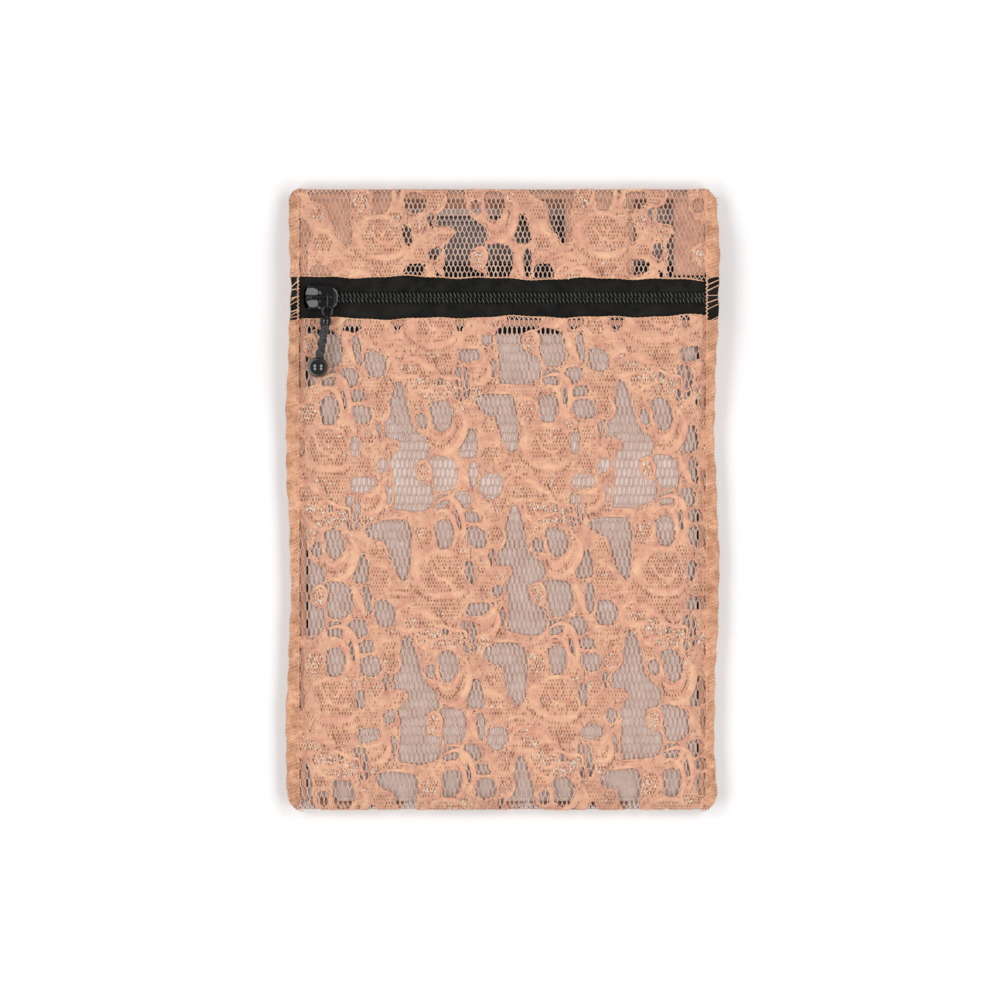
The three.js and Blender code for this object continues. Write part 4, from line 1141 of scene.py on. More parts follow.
def behind(west, east, low, high):
    """Doubled cloth under a patch of the front lace."""
    xs = np.linspace(west, east, max(LEAST_STATIONS, int((east - west) / FACING_STEP)))
    ys = np.linspace(low, high, max(LEAST_STATIONS, int((high - low) / FACING_STEP)))

    def under(x, y):
        uneven = dimples(x, y, FACING_WAVE, across=0.9, along=0.7)
        return front_height(x, y) - FACING_DEPTH - FACING_THICK + uneven

    return layered(xs, ys, under, shifted(under, FACING_THICK))


def edge_thread(edge, offset):
    """Pale thread along a cut edge of the lace."""
    xs = np.linspace(-PANEL_HALF, PANEL_HALF, EDGE_STEPS)
    ys = edge(xs) + offset + waves(EDGE_SWAY, xs)
    heights = EDGE_RISE + waves(EDGE_BOB, xs)
    return Build(tube(on_front(np.column_stack([xs, ys, heights])), EDGE_THREAD))


def under_fold(radius):
    """Height of cloth that cups the top fold from below."""
    return lambda x, y: SEAM_Z - np.sqrt(radius ** 2 - (y - FOLD_Y) ** 2)


def facings():
    """Second layer of lace behind parts of the band, by the zip and at the top fold, and the edge threads."""
    inside, outside = ALLOWANCE_INSIDE, ALLOWANCE_OUTSIDE
    backing = Build(*(behind(west, east, FACING_START, FOLD_FACING) for west, east in BACKED),
                    behind(-outside, outside, FOLD_FACING, FACING_END))
    band_sets = [parts_across(backing, [LACE_FACING], "lace_band_facing"),
                 parts_across(edge_thread(band_edge, EDGE_INSET), [LACE_EDGE], "lace_band_edge")]
    for pieces in band_sets:
        lift(pieces)
    hem = Build(behind(-outside, outside, HEM_END, HEM_EDGE),
                behind(inside, outside, ALLOWANCE_BOTTOM, HEM_END),
                behind(-outside, -inside, ALLOWANCE_BOTTOM, HEM_END))
    front_set = [make("lace_front_hem", hem, [LACE_FACING]),
                 make("lace_front_edge", edge_thread(front_edge, -EDGE_INSET), [LACE_EDGE])]
    xs = np.linspace(-outside, outside, LINING_COLUMNS)
    by_fold = np.linspace(BACK_FACING, FOLD_Y - FOLD_RADIUS, LINING_ROWS)
    in_fold = np.linspace(FOLD_Y - LIP_REACH, FOLD_Y + LIP_REACH, LIP_ROWS)
    under = shifted(back_height, LINING_DEPTH)
    lining = Build(layered(xs, by_fold, under, shifted(under, FACING_THICK)),
                   layered(xs, in_fold, under_fold(LIP_RADIUS + FACING_THICK), under_fold(LIP_RADIUS)))
    back_set = [make("lace_back_facing", lining, [LACE_FACING])]
    for piece in (*front_set, *back_set):
        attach(piece, "pouch")
    for piece in (*band_sets[0], *band_sets[1], *front_set, *back_set):
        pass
    return band_sets, front_set, back_set


front_pieces, front_windows = panel_lace(
    "front", (FRONT_FIELD, level(FRONT_FIELD[2]), front_edge), FRONT_ANCHOR, on_front, FRONT_MESH)
band_pieces, band_windows = band_lace()
back_pieces, back_windows = panel_lace(
    "back", (BACK_FIELD, level(BACK_FIELD[2]), level(BACK_FIELD[3])), BACK_ANCHOR, on_back, BAND_MESH)
band_backing, front_backing, back_backing = facings()


# Overlocked side seams

STITCH_PITCH = 1.15
STITCH_HEIGHT = 0.9
STITCH_RISE = 1.4
STITCH_RADII = (0.12, 0.22)
STITCH_SIDES = 5
SKIPPED_STITCHES = 0.28
# Spread of a stitch's place and of its rise, over the lace and over the tape
NEAT_STITCH = (0.2, 0.3)
LOOSE_STITCH = (0.45, 0.6)
# One stitch round the edge: share of the way out, and height
STITCH_PATH = ((0.0, 0.55), (0.1, 0.95), (0.4, 1.02), (0.75, 1.0), (0.96, 0.7), (1.03, 0.0), (0.96, -0.7),
               (0.6, -1.0), (0.1, -0.95))
CHAIN_THREAD = 0.2
CHAIN_SWAY = 0.28
OUTER_SWAY = 0.4
INNER_CHAIN = (0.25, 0.95)
OUTER_CHAIN = (-0.15, 0.1)
THREAD_END = HALF_LENGTH - 3
SEAM_INSIDE = PANEL_HALF + 0.9
SEAM_MIDDLE = HALF_WIDTH - 0.6
SEAM_LEAST = 0.8
SEAM_THICK = 0.75
SEAM_BUMPS = ((0.08, 1 / 2.1, 1, 0), (0.05, 1 / 5.3, 1, 0))
SEAM_WAVES = ((0.16, 1.3, 1, 0), (0.12, 3.7, math.inf, 0))
SEAM_SWAY = 0.75
SEAM_SWAY_LENGTH = 92
SEAM_SWAY_START = {-1: 20, 1: 70}
SEAM_END = HALF_LENGTH - 0.4
SEAM_STATIONS = 261
SEAM_END_STATIONS = 9
SEAM_END_SHARPNESS = 60
SEAM_END_LEAST = 0.05
EDGE_SIDES = 12
EDGE_SQUARENESS = 0.6
CORNER_ROUNDING = 5.5
CORNER_SHARE = 0.8
ZIP_GAP_MARGIN = 0.4


def seam_outer(y, side):
    """Wavy outer edge of a side seam, rounded off at the corners of the case."""
    sway = SEAM_SWAY * np.cos(2 * math.pi * (y - SEAM_SWAY_START[side]) / SEAM_SWAY_LENGTH)
    uneven = waves(SEAM_WAVES, y, side)
    into = np.clip((np.abs(y) - (HALF_LENGTH - CORNER_ROUNDING)) / CORNER_ROUNDING, 0, 1)
    return SEAM_MIDDLE + sway + uneven - CORNER_ROUNDING * (1 - np.sqrt(1 - into ** 2)) * CORNER_SHARE


def in_zip_gap(y):
    return (y > FRONT_EDGE - ZIP_GAP_MARGIN) & (y < BAND_EDGE + ZIP_GAP_MARGIN)


def seam_strip(side):
    """Rolled edge of the cloth; the tape's black end shows between the two lace edges."""
    ends = HALF_LENGTH * np.sin(np.linspace(-math.pi / 2, math.pi / 2, SEAM_END_STATIONS))
    ys = np.sort(np.concatenate([np.linspace(-SEAM_END, SEAM_END, SEAM_STATIONS), ends]))
    across, upward = squarish(turns(EDGE_SIDES), EDGE_SQUARENESS)
    rings = []
    for y in ys:
        outer = float(seam_outer(y, side))
        inner = min(SEAM_INSIDE, outer - SEAM_LEAST)
        xs = side * ((outer + inner) / 2 + (outer - inner) / 2 * across)
        thick = SEAM_THICK + waves(SEAM_BUMPS, y)
        thick *= math.sqrt(max(SEAM_END_LEAST, 1 - (abs(y) / HALF_LENGTH) ** SEAM_END_SHARPNESS))
        ring = np.stack([xs, np.full(EDGE_SIDES, y), seam_level(y) + thick * upward], axis=-1)
        rings.append(ring if side < 0 else ring[::-1])
    points, (skin, *caps) = loft(rings)
    black = in_zip_gap(points[skin, 1].mean(axis=1))
    strip = Build((points, [skin[~black], *caps]))
    strip.blocks.append((skin[black], 1))
    return strip


def seam_threads(side):
    """Slanted stitches over the edge and the two chains of thread that hold them."""
    threads = Build()
    for start in np.arange(-THREAD_END, THREAD_END, STITCH_PITCH):
        over_tape = in_zip_gap(start)
        if over_tape and rng.uniform() < SKIPPED_STITCHES:
            continue
        drift, spread = LOOSE_STITCH if over_tape else NEAT_STITCH
        y = start + rng.normal(0, drift)
        outer = float(seam_outer(y, side))
        rise = side * (STITCH_RISE + rng.normal(0, spread))
        path = []
        for share, height in STITCH_PATH:
            along = y + rise * (share - 0.5)
            x = SEAM_INSIDE + share * (outer - SEAM_INSIDE)
            path.append((side * x, along, seam_level(along) + STITCH_HEIGHT * height))
        threads.add(*tube(path, rng.uniform(*STITCH_RADII), STITCH_SIDES))
    ys = np.arange(-THREAD_END, THREAD_END, STITCH_PITCH / 4)
    sway = CHAIN_SWAY * np.sin(2 * math.pi * ys / STITCH_PITCH)
    for line, (inset, height) in ((SEAM_INSIDE + sway, INNER_CHAIN),
                                  (seam_outer(ys, side) + OUTER_SWAY * sway, OUTER_CHAIN)):
        chain = np.stack([side * (line + inset), ys, seam_level(ys) + STITCH_HEIGHT * height], axis=-1)
        threads.add(*tube(chain, CHAIN_THREAD, STITCH_SIDES))
    return threads


def side_seams():
    made = []
    for name, side in (("left", -1), ("right", 1)):
        strip = make(f"seam_{name}_edge", seam_strip(side), [SEAM_CLOTH_PAINTED_SHADE, TAPE])
        stitches = make(f"seam_{name}_stitches", seam_threads(side), [OVERLOCK])
        settle(strip, "pouch", "overlock_thread", f"side_seam_{name}")
        settle(stitches, "pouch", "overlock_thread")
        made += [strip, stitches]
    return made


seam_pieces = side_seams()


# Zip

TEETH_LOW, TEETH_HIGH = box_mm("zip_teeth_lower")
CHAIN_TOP = TEETH_HIGH[2]
CHAIN_BOTTOM = TEETH_LOW[2]
CHAIN_MIDDLE = (CHAIN_TOP + CHAIN_BOTTOM) / 2
TAPE_TOP = TAPE_HIGH[2]
TAPE_BOTTOM = TAPE_LOW[2]
TAPE_REACH = (UPPER_TAPE_EDGE - TAPE_LOW[1]) / 2
CHAIN_HALF = TAPE_REACH - (TAPE_HIGH[1] - TAPE_LOW[1])
TAPE_UNDERSIDE = TAPE_BOTTOM + 0.1
TAPE_FACE = TAPE_TOP - 0.15
TAPE_TUCK = 1.5
TAPE_DIP = 1.15
# The tapes nearly meet under the chain: a dark backing as painted shade in the gaps between the turns.
TAPE_MEETING = 0.06
TAPE_ROLL = 0.14
ROLL_MIDDLE = CHAIN_HALF + 0.4
ROLL_WIDTH = 0.45
TAPE_WAVES = ((0.05, 3.1, 1, 0), (0.03, 1.1, math.inf, 0))
TAPE_COLUMNS = 250
TAPE_ROWS = 18
COIL_PITCH = 1.22
COIL_SLANT = 0.4
COIL_SLANTS = (0.7, 1.3)
COIL_RADIUS = 0.2
COIL_RADII = (0.9, 1.1)
COIL_SIDES = 8
COIL_WEST = TEETH_LOW[0] + 0.6
COIL_EAST = PANEL_HALF + 0.6
# One turn of the coil: distance from the middle of the chain, and height
COIL_TURN = np.array([(1.6, -0.3), (1.62, 0.3), (1.4, 0.58), (1.0, 0.68), (0.5, 0.64), (0.0, 0.42),
                      (-0.32, 0.0), (0.0, -0.42), (0.6, -0.52), (1.4, -0.45)])
CORD_RADIUS = 0.42
CORD_OUT = 0.95
CORD_DROP = 0.1
CORD_STEPS = 160


def along_zip(points):
    """Points made about the zip's middle line, moved to its place."""
    return points + (0, ZIP_Y, 0)


def tape_dip(x):
    """How far the ends of the zip sink under the side seams."""
    return TAPE_DIP * ease(np.abs(x), PANEL_HALF - TAPE_TUCK, PANEL_HALF + TAPE_TUCK / 2)


def tape_half(side):
    """Half of the woven tape, from the middle of the chain that is sewn on it to its edge under the lace; its
    black under the chain is a dark backing, painted shade for the gaps between the turns.
    """
    xs = np.linspace(-PANEL_HALF - TAPE_TUCK, PANEL_HALF + TAPE_TUCK, TAPE_COLUMNS)
    ys = np.sort(side * np.linspace(TAPE_MEETING, TAPE_REACH, TAPE_ROWS))

    def uneven(x, y):
        return waves(TAPE_WAVES, x, y) - tape_dip(x)

    def face(x, y):
        roll = TAPE_ROLL * np.exp(-((np.abs(y) - ROLL_MIDDLE) / ROLL_WIDTH) ** 2)
        return TAPE_FACE + uneven(x, y) + roll

    return Build(layered(xs, ys, shifted(uneven, TAPE_UNDERSIDE), face)).shape(along_zip)


def coil_half(side):
    """Slanted turns of the coil on one tape, coloured grey as a painted highlight on the black coil, and the
    dark cord inside them.
    """
    row = Build()
    out, height = COIL_TURN.T
    phase = COIL_PITCH / 2 if side > 0 else 0
    for x in np.arange(COIL_WEST + phase, COIL_EAST, COIL_PITCH):
        lean = COIL_SLANT * rng.uniform(*COIL_SLANTS)
        path = np.stack([x - side * lean * out, side * out, CHAIN_MIDDLE + height], axis=-1)
        row.add(*tube(path, COIL_RADIUS * rng.uniform(*COIL_RADII), COIL_SIDES))
    cord = np.full((CORD_STEPS, 3), (0, side * CORD_OUT, CHAIN_MIDDLE - CORD_DROP))
    cord[:, 0] = np.linspace(COIL_WEST, COIL_EAST, CORD_STEPS)
    row.add(*tube(cord, CORD_RADIUS, COIL_SIDES), kind=1)

    def tucked(points):
        """The end of the row goes under the side seam with its tape."""
        x, y, z = along_zip(points).T
        return np.column_stack([x, y, z - tape_dip(x)])

    return row.shape(tucked)


def zip_fastener():
    settle(make("zip_tape_lower_weave", tape_half(-1), [TAPE]), "pouch", "zip_tape", "zip_tape_lower")
    settle(make("zip_coil_lower", coil_half(-1), [COIL_PAINTED_HIGHLIGHT, TAPE]), "pouch", "zip_teeth", "zip_teeth_lower")
    tapes = parts_across(tape_half(1), [TAPE], "zip_tape_upper_weave")
    coils = parts_across(coil_half(1), [COIL_PAINTED_HIGHLIGHT, TAPE], "zip_coil_upper")
    for pieces, slot in ((tapes, "zip_tape"), (coils, "zip_teeth")):
        lift(pieces)
        for piece, part in zip(pieces, PARTS):
            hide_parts(f"{slot}_upper_{part}")


zip_fastener()


# Slider and puller

LINK_AT = joint_mm("link_swing")
PULLER_AT = joint_mm("puller_swing")
PULLER_AXIS = np.array(joints["puller_swing"]["axis"])
BALL_AT = np.mean(box_mm("pull_ball"), axis=0)
SLIDER_AT = (SLIDER_LOW + SLIDER_HIGH) / 2
SLIDER_HALF, NOSE_HALF = (SLIDER_HIGH - SLIDER_LOW)[:2] / 2
TAIL_HALF = NOSE_HALF - 0.7
SLIDER_PLAY = 0.35
SLIDER_SQUARENESS = 0.55
PLATE = 1.0
PLATE_STEPS = 96
UPPER_PLATE = CHAIN_TOP + SLIDER_PLAY
LOWER_PLATE = CHAIN_BOTTOM - SLIDER_PLAY
PLATE_LAP = 0.4
# Rims of the plates: share of the outline, and drop from the face
UPPER_RIM = ((0.97, PLATE), (1.0, PLATE - 0.25), (1.0, 0.35), (0.985, 0.14), (0.95, 0.03))
LOWER_RIM = ((0.93, PLATE), (1.0, PLATE - 0.2), (1.0, 0.2), (0.96, 0))
CROWN_SCALES = np.linspace(0.9, 0.04, 18)
NOSE_TOP = UPPER_PLATE + PLATE + 0.45
NOSE_START = -0.6
NOSE_SLOPE = 0.28
NOSE_CURVE = 0.012
NOSE_LEAN_BACK = 0.1
NOSE_LEAN_FRONT = 0.18
GROOVE_DEPTH = 0.3
GROOVE_WIDTH = 0.45
LOBE_X = -2.9
LOBE_Y = 1.6
LOBE_LENGTH = 2.3
LOBE_WIDTH = 1.5
LOBE_FLAT = 0.7
LOBE_ROUNDING = 0.5
TAIL_TOP = UPPER_PLATE + PLATE - 0.1
TAIL_DROP = 0.35
TAIL_LENGTH = 2.2
STEP_START = NOSE_START - 0.2
STEP_END = NOSE_START + 0.7
FLANGE_INSET = 1.1
FLANGE_STATIONS = 12
FLANGE_MARGIN = 0.05
FLANGE_WIDTH = 0.8
FLANGE_ROUNDING = 0.2
FLANGE_BEVEL = 0.15
POST_SCALE = 0.24
POST_INSET = 1.9
POST_SIDES = 24
POST_RINGS = 4
BRIDGE_RADIUS = 0.45
BRIDGE_HALF = 3.7
BRIDGE_BEND = 1.2
BRIDGE_STEPS = 9
WIRE_SIDES = 14
LINK_RADIUS = 1.05
LINK_SPAN = 2.6
LINK_WIRE = 0.3
LINK_STEPS = 16
LINK_SIDES = 12


def plate_ring(scale, sides=PLATE_STEPS):
    """Outline of the slider's plates, wider at the nose."""
    x, y = squarish(turns(sides), SLIDER_SQUARENESS)
    half = TAIL_HALF + (NOSE_HALF - TAIL_HALF) * (1 - x) / 2
    return np.stack([scale * SLIDER_HALF * x, scale * half * y], axis=-1)


def slider_top(x, y):
    """Two glossy facets that slope down to the nose, parted by a groove, and a flat tail."""
    lean = np.where(y > 0, -NOSE_LEAN_BACK * y, NOSE_LEAN_FRONT * y)
    nose = NOSE_TOP + NOSE_SLOPE * (x - NOSE_START) + lean - NOSE_CURVE * (x - NOSE_START) ** 2
    groove = -GROOVE_DEPTH * np.exp(-(y / GROOVE_WIDTH) ** 2)
    from_lobe = np.hypot((x - LOBE_X) / LOBE_LENGTH, (np.abs(y) - LOBE_Y) / LOBE_WIDTH)
    nose = nose - LOBE_ROUNDING * np.maximum(0, from_lobe - LOBE_FLAT) ** 2
    tail = TAIL_TOP - TAIL_DROP * ease(x, SLIDER_HALF - TAIL_LENGTH, SLIDER_HALF)
    mix = ease(x, STEP_START, STEP_END)
    return (nose + groove) * (1 - mix) + tail * mix


def slider_plates():
    """Upper plate with its shaped top, and flat lower plate."""
    upper = []
    for scale, drop in (*UPPER_RIM, *((scale, 0) for scale in CROWN_SCALES)):
        flat = plate_ring(scale)
        upper.append(np.column_stack([flat, np.maximum(slider_top(*flat.T) - drop, UPPER_PLATE)]))
    lower = [at_height(plate_ring(scale), LOWER_PLATE - drop) for scale, drop in LOWER_RIM]
    return loft(upper), loft(lower)


def slider_flange(side):
    """Flange under one side of the upper plate."""
    low = TAPE_TOP + SLIDER_PLAY
    high = UPPER_PLATE + PLATE_LAP
    rings = []
    for x in np.linspace(-SLIDER_HALF + FLANGE_INSET, SLIDER_HALF - FLANGE_INSET, FLANGE_STATIONS):
        share = (x + SLIDER_HALF) / (2 * SLIDER_HALF)
        outer = NOSE_HALF + (TAIL_HALF - NOSE_HALF) * share - FLANGE_MARGIN
        inner = outer - FLANGE_WIDTH
        corners = [(inner, high), (inner, low + FLANGE_BEVEL), (inner + FLANGE_BEVEL, low),
                   (outer - FLANGE_ROUNDING, low), (outer, low + FLANGE_ROUNDING), (outer, high)]
        rings.append([(x, side * y, z) for y, z in corners[::side]])
    return loft(rings)


def slider_bridge():
    """Wire arch over the slider that holds the link."""
    foot = UPPER_PLATE + PLATE_LAP
    shoulder = LINK_AT[2] - BRIDGE_BEND
    arch = [(-BRIDGE_HALF, foot), (-BRIDGE_HALF, (foot + shoulder) / 2)]
    for angle in np.linspace(0, math.pi / 2, BRIDGE_STEPS):
        x = -BRIDGE_HALF + BRIDGE_BEND * (1 - math.cos(angle))
        arch.append((x, shoulder + BRIDGE_BEND * math.sin(angle)))
    arch += [(-x, z) for x, z in arch[::-1]]
    return tube([(x, 0, z) for x, z in arch], BRIDGE_RADIUS, WIRE_SIDES)


def by_slider(points):
    """Points about the slider's middle, moved to its place."""
    return points + (*SLIDER_AT[:2], 0)


def slider_body():
    outline = POST_SCALE * plate_ring(1.0, POST_SIDES) + (-SLIDER_HALF + POST_INSET, 0)
    post = loft([at_height(outline, z)
                 for z in np.linspace(LOWER_PLATE - PLATE_LAP, UPPER_PLATE + PLATE_LAP, POST_RINGS)])
    body = Build(*slider_plates(), slider_flange(-1), slider_flange(1), post, slider_bridge())
    settle(make("slider_shell", body.shape(by_slider), [ENAMEL]), "slider", "slider_metal", "slider_body")


def pull_link():
    """Long wire link in the plane across the bridge."""
    along = np.cross(PULLER_AXIS, (1, 0, 0))
    path = []
    for middle, start in ((0, 0), (-LINK_SPAN, math.pi)):
        for angle in np.linspace(start, start + math.pi, LINK_STEPS):
            y = middle + LINK_RADIUS * math.sin(angle)
            path.append(LINK_AT + y * along + LINK_RADIUS * math.cos(angle) * PULLER_AXIS)
    wire = Build(tube(path, LINK_WIRE, LINK_SIDES, closed=True))
    settle(make("pull_link_wire", wire, [ENAMEL]), "link", "slider_metal", "pull_link")


# Puller: lengths run from its joint towards the ball, which lies at lower y
EYE_RADIUS = 1.45
EYE_WIRE = 0.45
EYE_Y = -0.4
EYE_STEPS = 40
FERRULE_TOP = EYE_Y - EYE_RADIUS
FERRULE_END = FERRULE_TOP - 3.0
FERRULE = ((0.3, FERRULE_TOP + 0.1), (0.75, FERRULE_TOP - 0.1), (0.85, FERRULE_TOP - 0.4),
           (1.35, FERRULE_TOP - 0.75), (1.65, FERRULE_TOP - 1.1), (1.75, FERRULE_TOP - 1.5),
           (1.75, FERRULE_END + 0.25), (1.68, FERRULE_END + 0.08), (1.55, FERRULE_END),
           (1.0, FERRULE_END + 0.1))
FERRULE_SIDES = 32
BALL_RADIUS = 3.2
BALL_Y = -17.8
BALL_ANGLES = np.linspace(math.pi - 0.02, 0.5, 40)
BALL_MOUTH = ((1.48, 0.12), (1.44, 0.4), (1.3, 0.9))
BALL_SIDES = 56
STEM_LOW = BALL_Y + BALL_RADIUS - 0.6
STEM_HIGH = FERRULE_END + 0.5
STEM_RADIUS = 1.26
STEM_STATIONS = 110
STEM_SIDES = 48
STRANDS = 3
STRAND_HEIGHT = 0.2
STRAND_TURNS = 3.6
WAISTS = (0.3, 0.6)
WAIST_DEPTH = 0.3
WAIST_LENGTH = 0.05


def by_puller(points):
    """Points about the puller's joint, across, along towards the link and up, moved to its place."""
    along = PULLER_AT - BALL_AT
    along -= PULLER_AXIS * (along @ PULLER_AXIS)
    along /= np.linalg.norm(along)
    return PULLER_AT + points @ np.stack([np.cross(along, PULLER_AXIS), along, PULLER_AXIS])


def around(radius, y, sides):
    """Ring round the puller's length; its radius may change on the way round."""
    angles = turns(sides)
    return np.stack([radius * np.cos(angles), np.full(sides, y), radius * np.sin(angles)], axis=-1)


def turned(profile, sides):
    return loft([around(radius, y, sides) for radius, y in profile])


def braid():
    """Rings of the stem: crossing strands wound round it, with two waists."""
    angles = turns(STEM_SIDES)
    for share in np.linspace(0, 1, STEM_STATIONS):
        wind = 2 * math.pi * STRAND_TURNS * share
        strands = np.maximum(np.cos(STRANDS * angles - wind), np.cos(STRANDS * angles + wind))
        waist = sum(WAIST_DEPTH * math.exp(-((share - middle) / WAIST_LENGTH) ** 2) for middle in WAISTS)
        radius = STEM_RADIUS - waist + STRAND_HEIGHT * strands
        yield around(radius, STEM_LOW + (STEM_HIGH - STEM_LOW) * share, STEM_SIDES)


def puller():
    eye = around(EYE_RADIUS, 0, EYE_STEPS)[:, (0, 2, 1)] + (0, EYE_Y, 0)
    metal = Build(tube(eye, EYE_WIRE, WIRE_SIDES, closed=True), turned(FERRULE, FERRULE_SIDES))
    bead = [(BALL_RADIUS * math.sin(angle), BALL_Y + BALL_RADIUS * math.cos(angle)) for angle in BALL_ANGLES]
    mouth = [(radius, bead[-1][1] - depth) for radius, depth in BALL_MOUTH]
    for name, build, finish, slot, node_name in (
            ("pull_eye_metal", metal, ENAMEL, "slider_metal", "pull_eye"),
            ("pull_stem_braid", Build(loft(list(braid()))), BRAID, "pull_cord", "pull_stem"),
            ("pull_ball_gloss", Build(turned([*bead, *mouth], BALL_SIDES)), BALL, "pull_gloss", "pull_ball")):
        settle(make(name, build.shape(by_puller), [finish]), "puller", slot, node_name)


slider_body()
pull_link()
puller()


# Cooling liner

LINER_LOW, LINER_HIGH = box_mm("liner_front_outer")
CELL_LOW, CELL_HIGH = box_mm("gel_cell_front_3")
PATCH_LOW, PATCH_HIGH = box_mm("liner_blank_patch")
LINER_HALF = LINER_HIGH[0] + 2
LINER_BOTTOM = LINER_LOW[1] - 2.4
LINER_MOUTH = LINER_HIGH[1]
LINER_TOP = box_mm("liner_back_outer")[1][1]
LINER_STEPS = (0.9, 2.0)
LINER_FOOT = -FOLD_Y + 1.7
LINER_EASE = 0.1
CREASES = ((0.1, 7.3, 63, 0),)
CROWDED_EDGE = 6.0
CROWDED_STATIONS = 12
LACE = 0.7
GAP = 0.3
FABRIC = 0.3
LAYER = FABRIC + GAP
DOUBLE_FABRIC = 2 * FABRIC + GAP
CELL_BOTTOM = CELL_LOW[1]
CELL_TOP = CELL_HIGH[1]
CELL_WIDTH = CELL_HIGH[0] - CELL_LOW[0]
CELL_COUNT = 5
CELL_SPACING = CELL_WIDTH + 1.5
CELL_COLUMNS = 15
CELL_STEP = 2.5
# Stations of the lining just inside and just outside each cell
CELL_MARGINS = (-0.05, 0.25)
GEL_EDGE = 0.2
GEL_FULL = 1.0
GEL_ROUNDNESS = 4
GEL_DIMPLES = ((0.04, 3.1, 1.9, 0),)
GEL_RIBS = ((1, 2.3, 1, 0),)
BINDING_HALF = 0.75
BINDING_THICK = 0.4
BINDING_UNEVEN = 0.05
BINDING_PACE = 1.3
BINDING_STEP = 1.2
HEM_LAP = 0.6
HEM_RISE = 0.04
HEM_STEPS = (1.0, 0.4)
SEWN_EVERY = 2.8
SEWN_LENGTH = 1.9
SEWN_THREAD = 0.13
SEWN_ARCH = np.array([-0.12, 0.08, 0.13, 0.08, -0.12])
SEWN_MARGIN = 1
PATCH_STEP = 0.8
PATCH_THICK = 0.4
PATCH_WAVE = 0.04
BORDER_INSET = 1.4
BORDER_START = 0.2
BORDER_EVERY = 2.4
BORDER_LENGTH = 1.6
BORDER_THREAD = 0.14
BORDER_ARCH = np.array([-0.1, 0.08, 0.12, 0.08, -0.1])


def liner_fullness(x, y):
    ends = np.where(y < 0, fullness(y, LINER_BOTTOM, ROUNDNESS), 1)
    return fullness(x, LINER_HALF, ROUNDNESS) * ends


def liner_level(y):
    """Middle of the liner's side edges."""
    return SEAM_Z + (seam_level(y) - SEAM_Z) / 2


def gel_depth(x, y):
    """Thickness of the gel: swollen along the middle of each channel."""
    index = np.clip(np.round(x / CELL_SPACING), -(CELL_COUNT // 2), CELL_COUNT // 2)
    offset = (x - index * CELL_SPACING) / (CELL_WIDTH / 2)
    inside = (np.abs(offset) <= 1) & (y >= CELL_BOTTOM) & (y <= CELL_TOP)
    return np.where(inside, GEL_EDGE + (GEL_FULL - GEL_EDGE) * fullness(offset, 1, GEL_ROUNDNESS), 0)


def dimpled_gel(x, y):
    """Thickness of the gel with the small dimples of its inner face."""
    return gel_depth(x, y) + waves(GEL_DIMPLES, x, y) * waves(GEL_RIBS, x)


def lining_depth(x, y):
    """How far the lining lies behind the gap under the outer fabric."""
    depth = gel_depth(x, y)
    return np.where(depth > 0, depth + GAP, 0)


def front_liner(x, y):
    """Top of the liner's outer front fabric, just under the lace."""
    crown = front_height(np.zeros_like(x), np.clip(y, LINER_FOOT, FOLD_Y)) - LACE - GAP
    pinch = np.minimum(crown, liner_level(y) + GAP / 2 + DOUBLE_FABRIC)
    full = liner_fullness(x, y)
    creases = bent_wave(x, y, length=1.9, bend=0.6, bend_length=31) * waves(CREASES, x, y) * full
    return pinch + (crown - pinch) * full + ripple(x, y) + creases - LINER_EASE


def back_liner(x, y):
    """Underside of the liner's outer back fabric."""
    pinch = liner_level(y) - GAP / 2 - DOUBLE_FABRIC
    swollen = pinch + (LACE + GAP - pinch) * liner_fullness(x, y)
    return np.maximum(swollen, back_height(x, y) + LACE + GAP)


def front_inner(x, y):
    """Top of the front lining."""
    return front_liner(x, y) - LAYER - lining_depth(x, y)


def back_inner(x, y):
    """Underside of the back lining."""
    return back_liner(x, y) + LAYER + lining_depth(x, y)


def stations(low, high, step):
    return np.linspace(low, high, max(LEAST_STATIONS, int(round((high - low) / step)) + 1))


def crowded(low, high, step):
    """Stations that lie closer together near both ends."""
    inner = stations(low + CROWDED_EDGE, high - CROWDED_EDGE, step)
    start = low + CROWDED_EDGE * (1 - np.cos(np.linspace(0, math.pi / 2, CROWDED_STATIONS)))[:-1]
    return np.concatenate([start, inner, (low + high - start)[::-1]])


def fabric(name, node_name, xs, ys, under, top, finish=LINER, slot="liner_fabric"):
    """Sheet of liner fabric in place of a CAD node."""
    return settle(make(name, Build(layered(xs, ys, under, top)), [finish]), "pouch", slot, node_name)


def stitch(flat, surface, arch, radius):
    """One stitch along a flat path that arches out of a surface."""
    return tube(np.column_stack([flat, surface(*flat.T) + arch]), radius, STITCH_SIDES)


def sewn_lines():
    """Stitches along the sewn lines between the channels, on both outer fabrics."""
    stitches = Build()
    for index in range(CELL_COUNT - 1):
        x = (index - (CELL_COUNT - 2) / 2) * CELL_SPACING
        for y in np.arange(CELL_BOTTOM + SEWN_MARGIN, CELL_TOP - SEWN_MARGIN, SEWN_EVERY):
            flat = np.linspace((x, y), (x, y + SEWN_LENGTH), len(SEWN_ARCH))
            stitches.add(*stitch(flat, front_liner, SEWN_ARCH, SEWN_THREAD))
            stitches.add(*stitch(flat, back_liner, -SEWN_ARCH, SEWN_THREAD))
    return settle(make("liner_stitches", stitches, [LINER_THREAD]), "pouch", "liner_fabric")


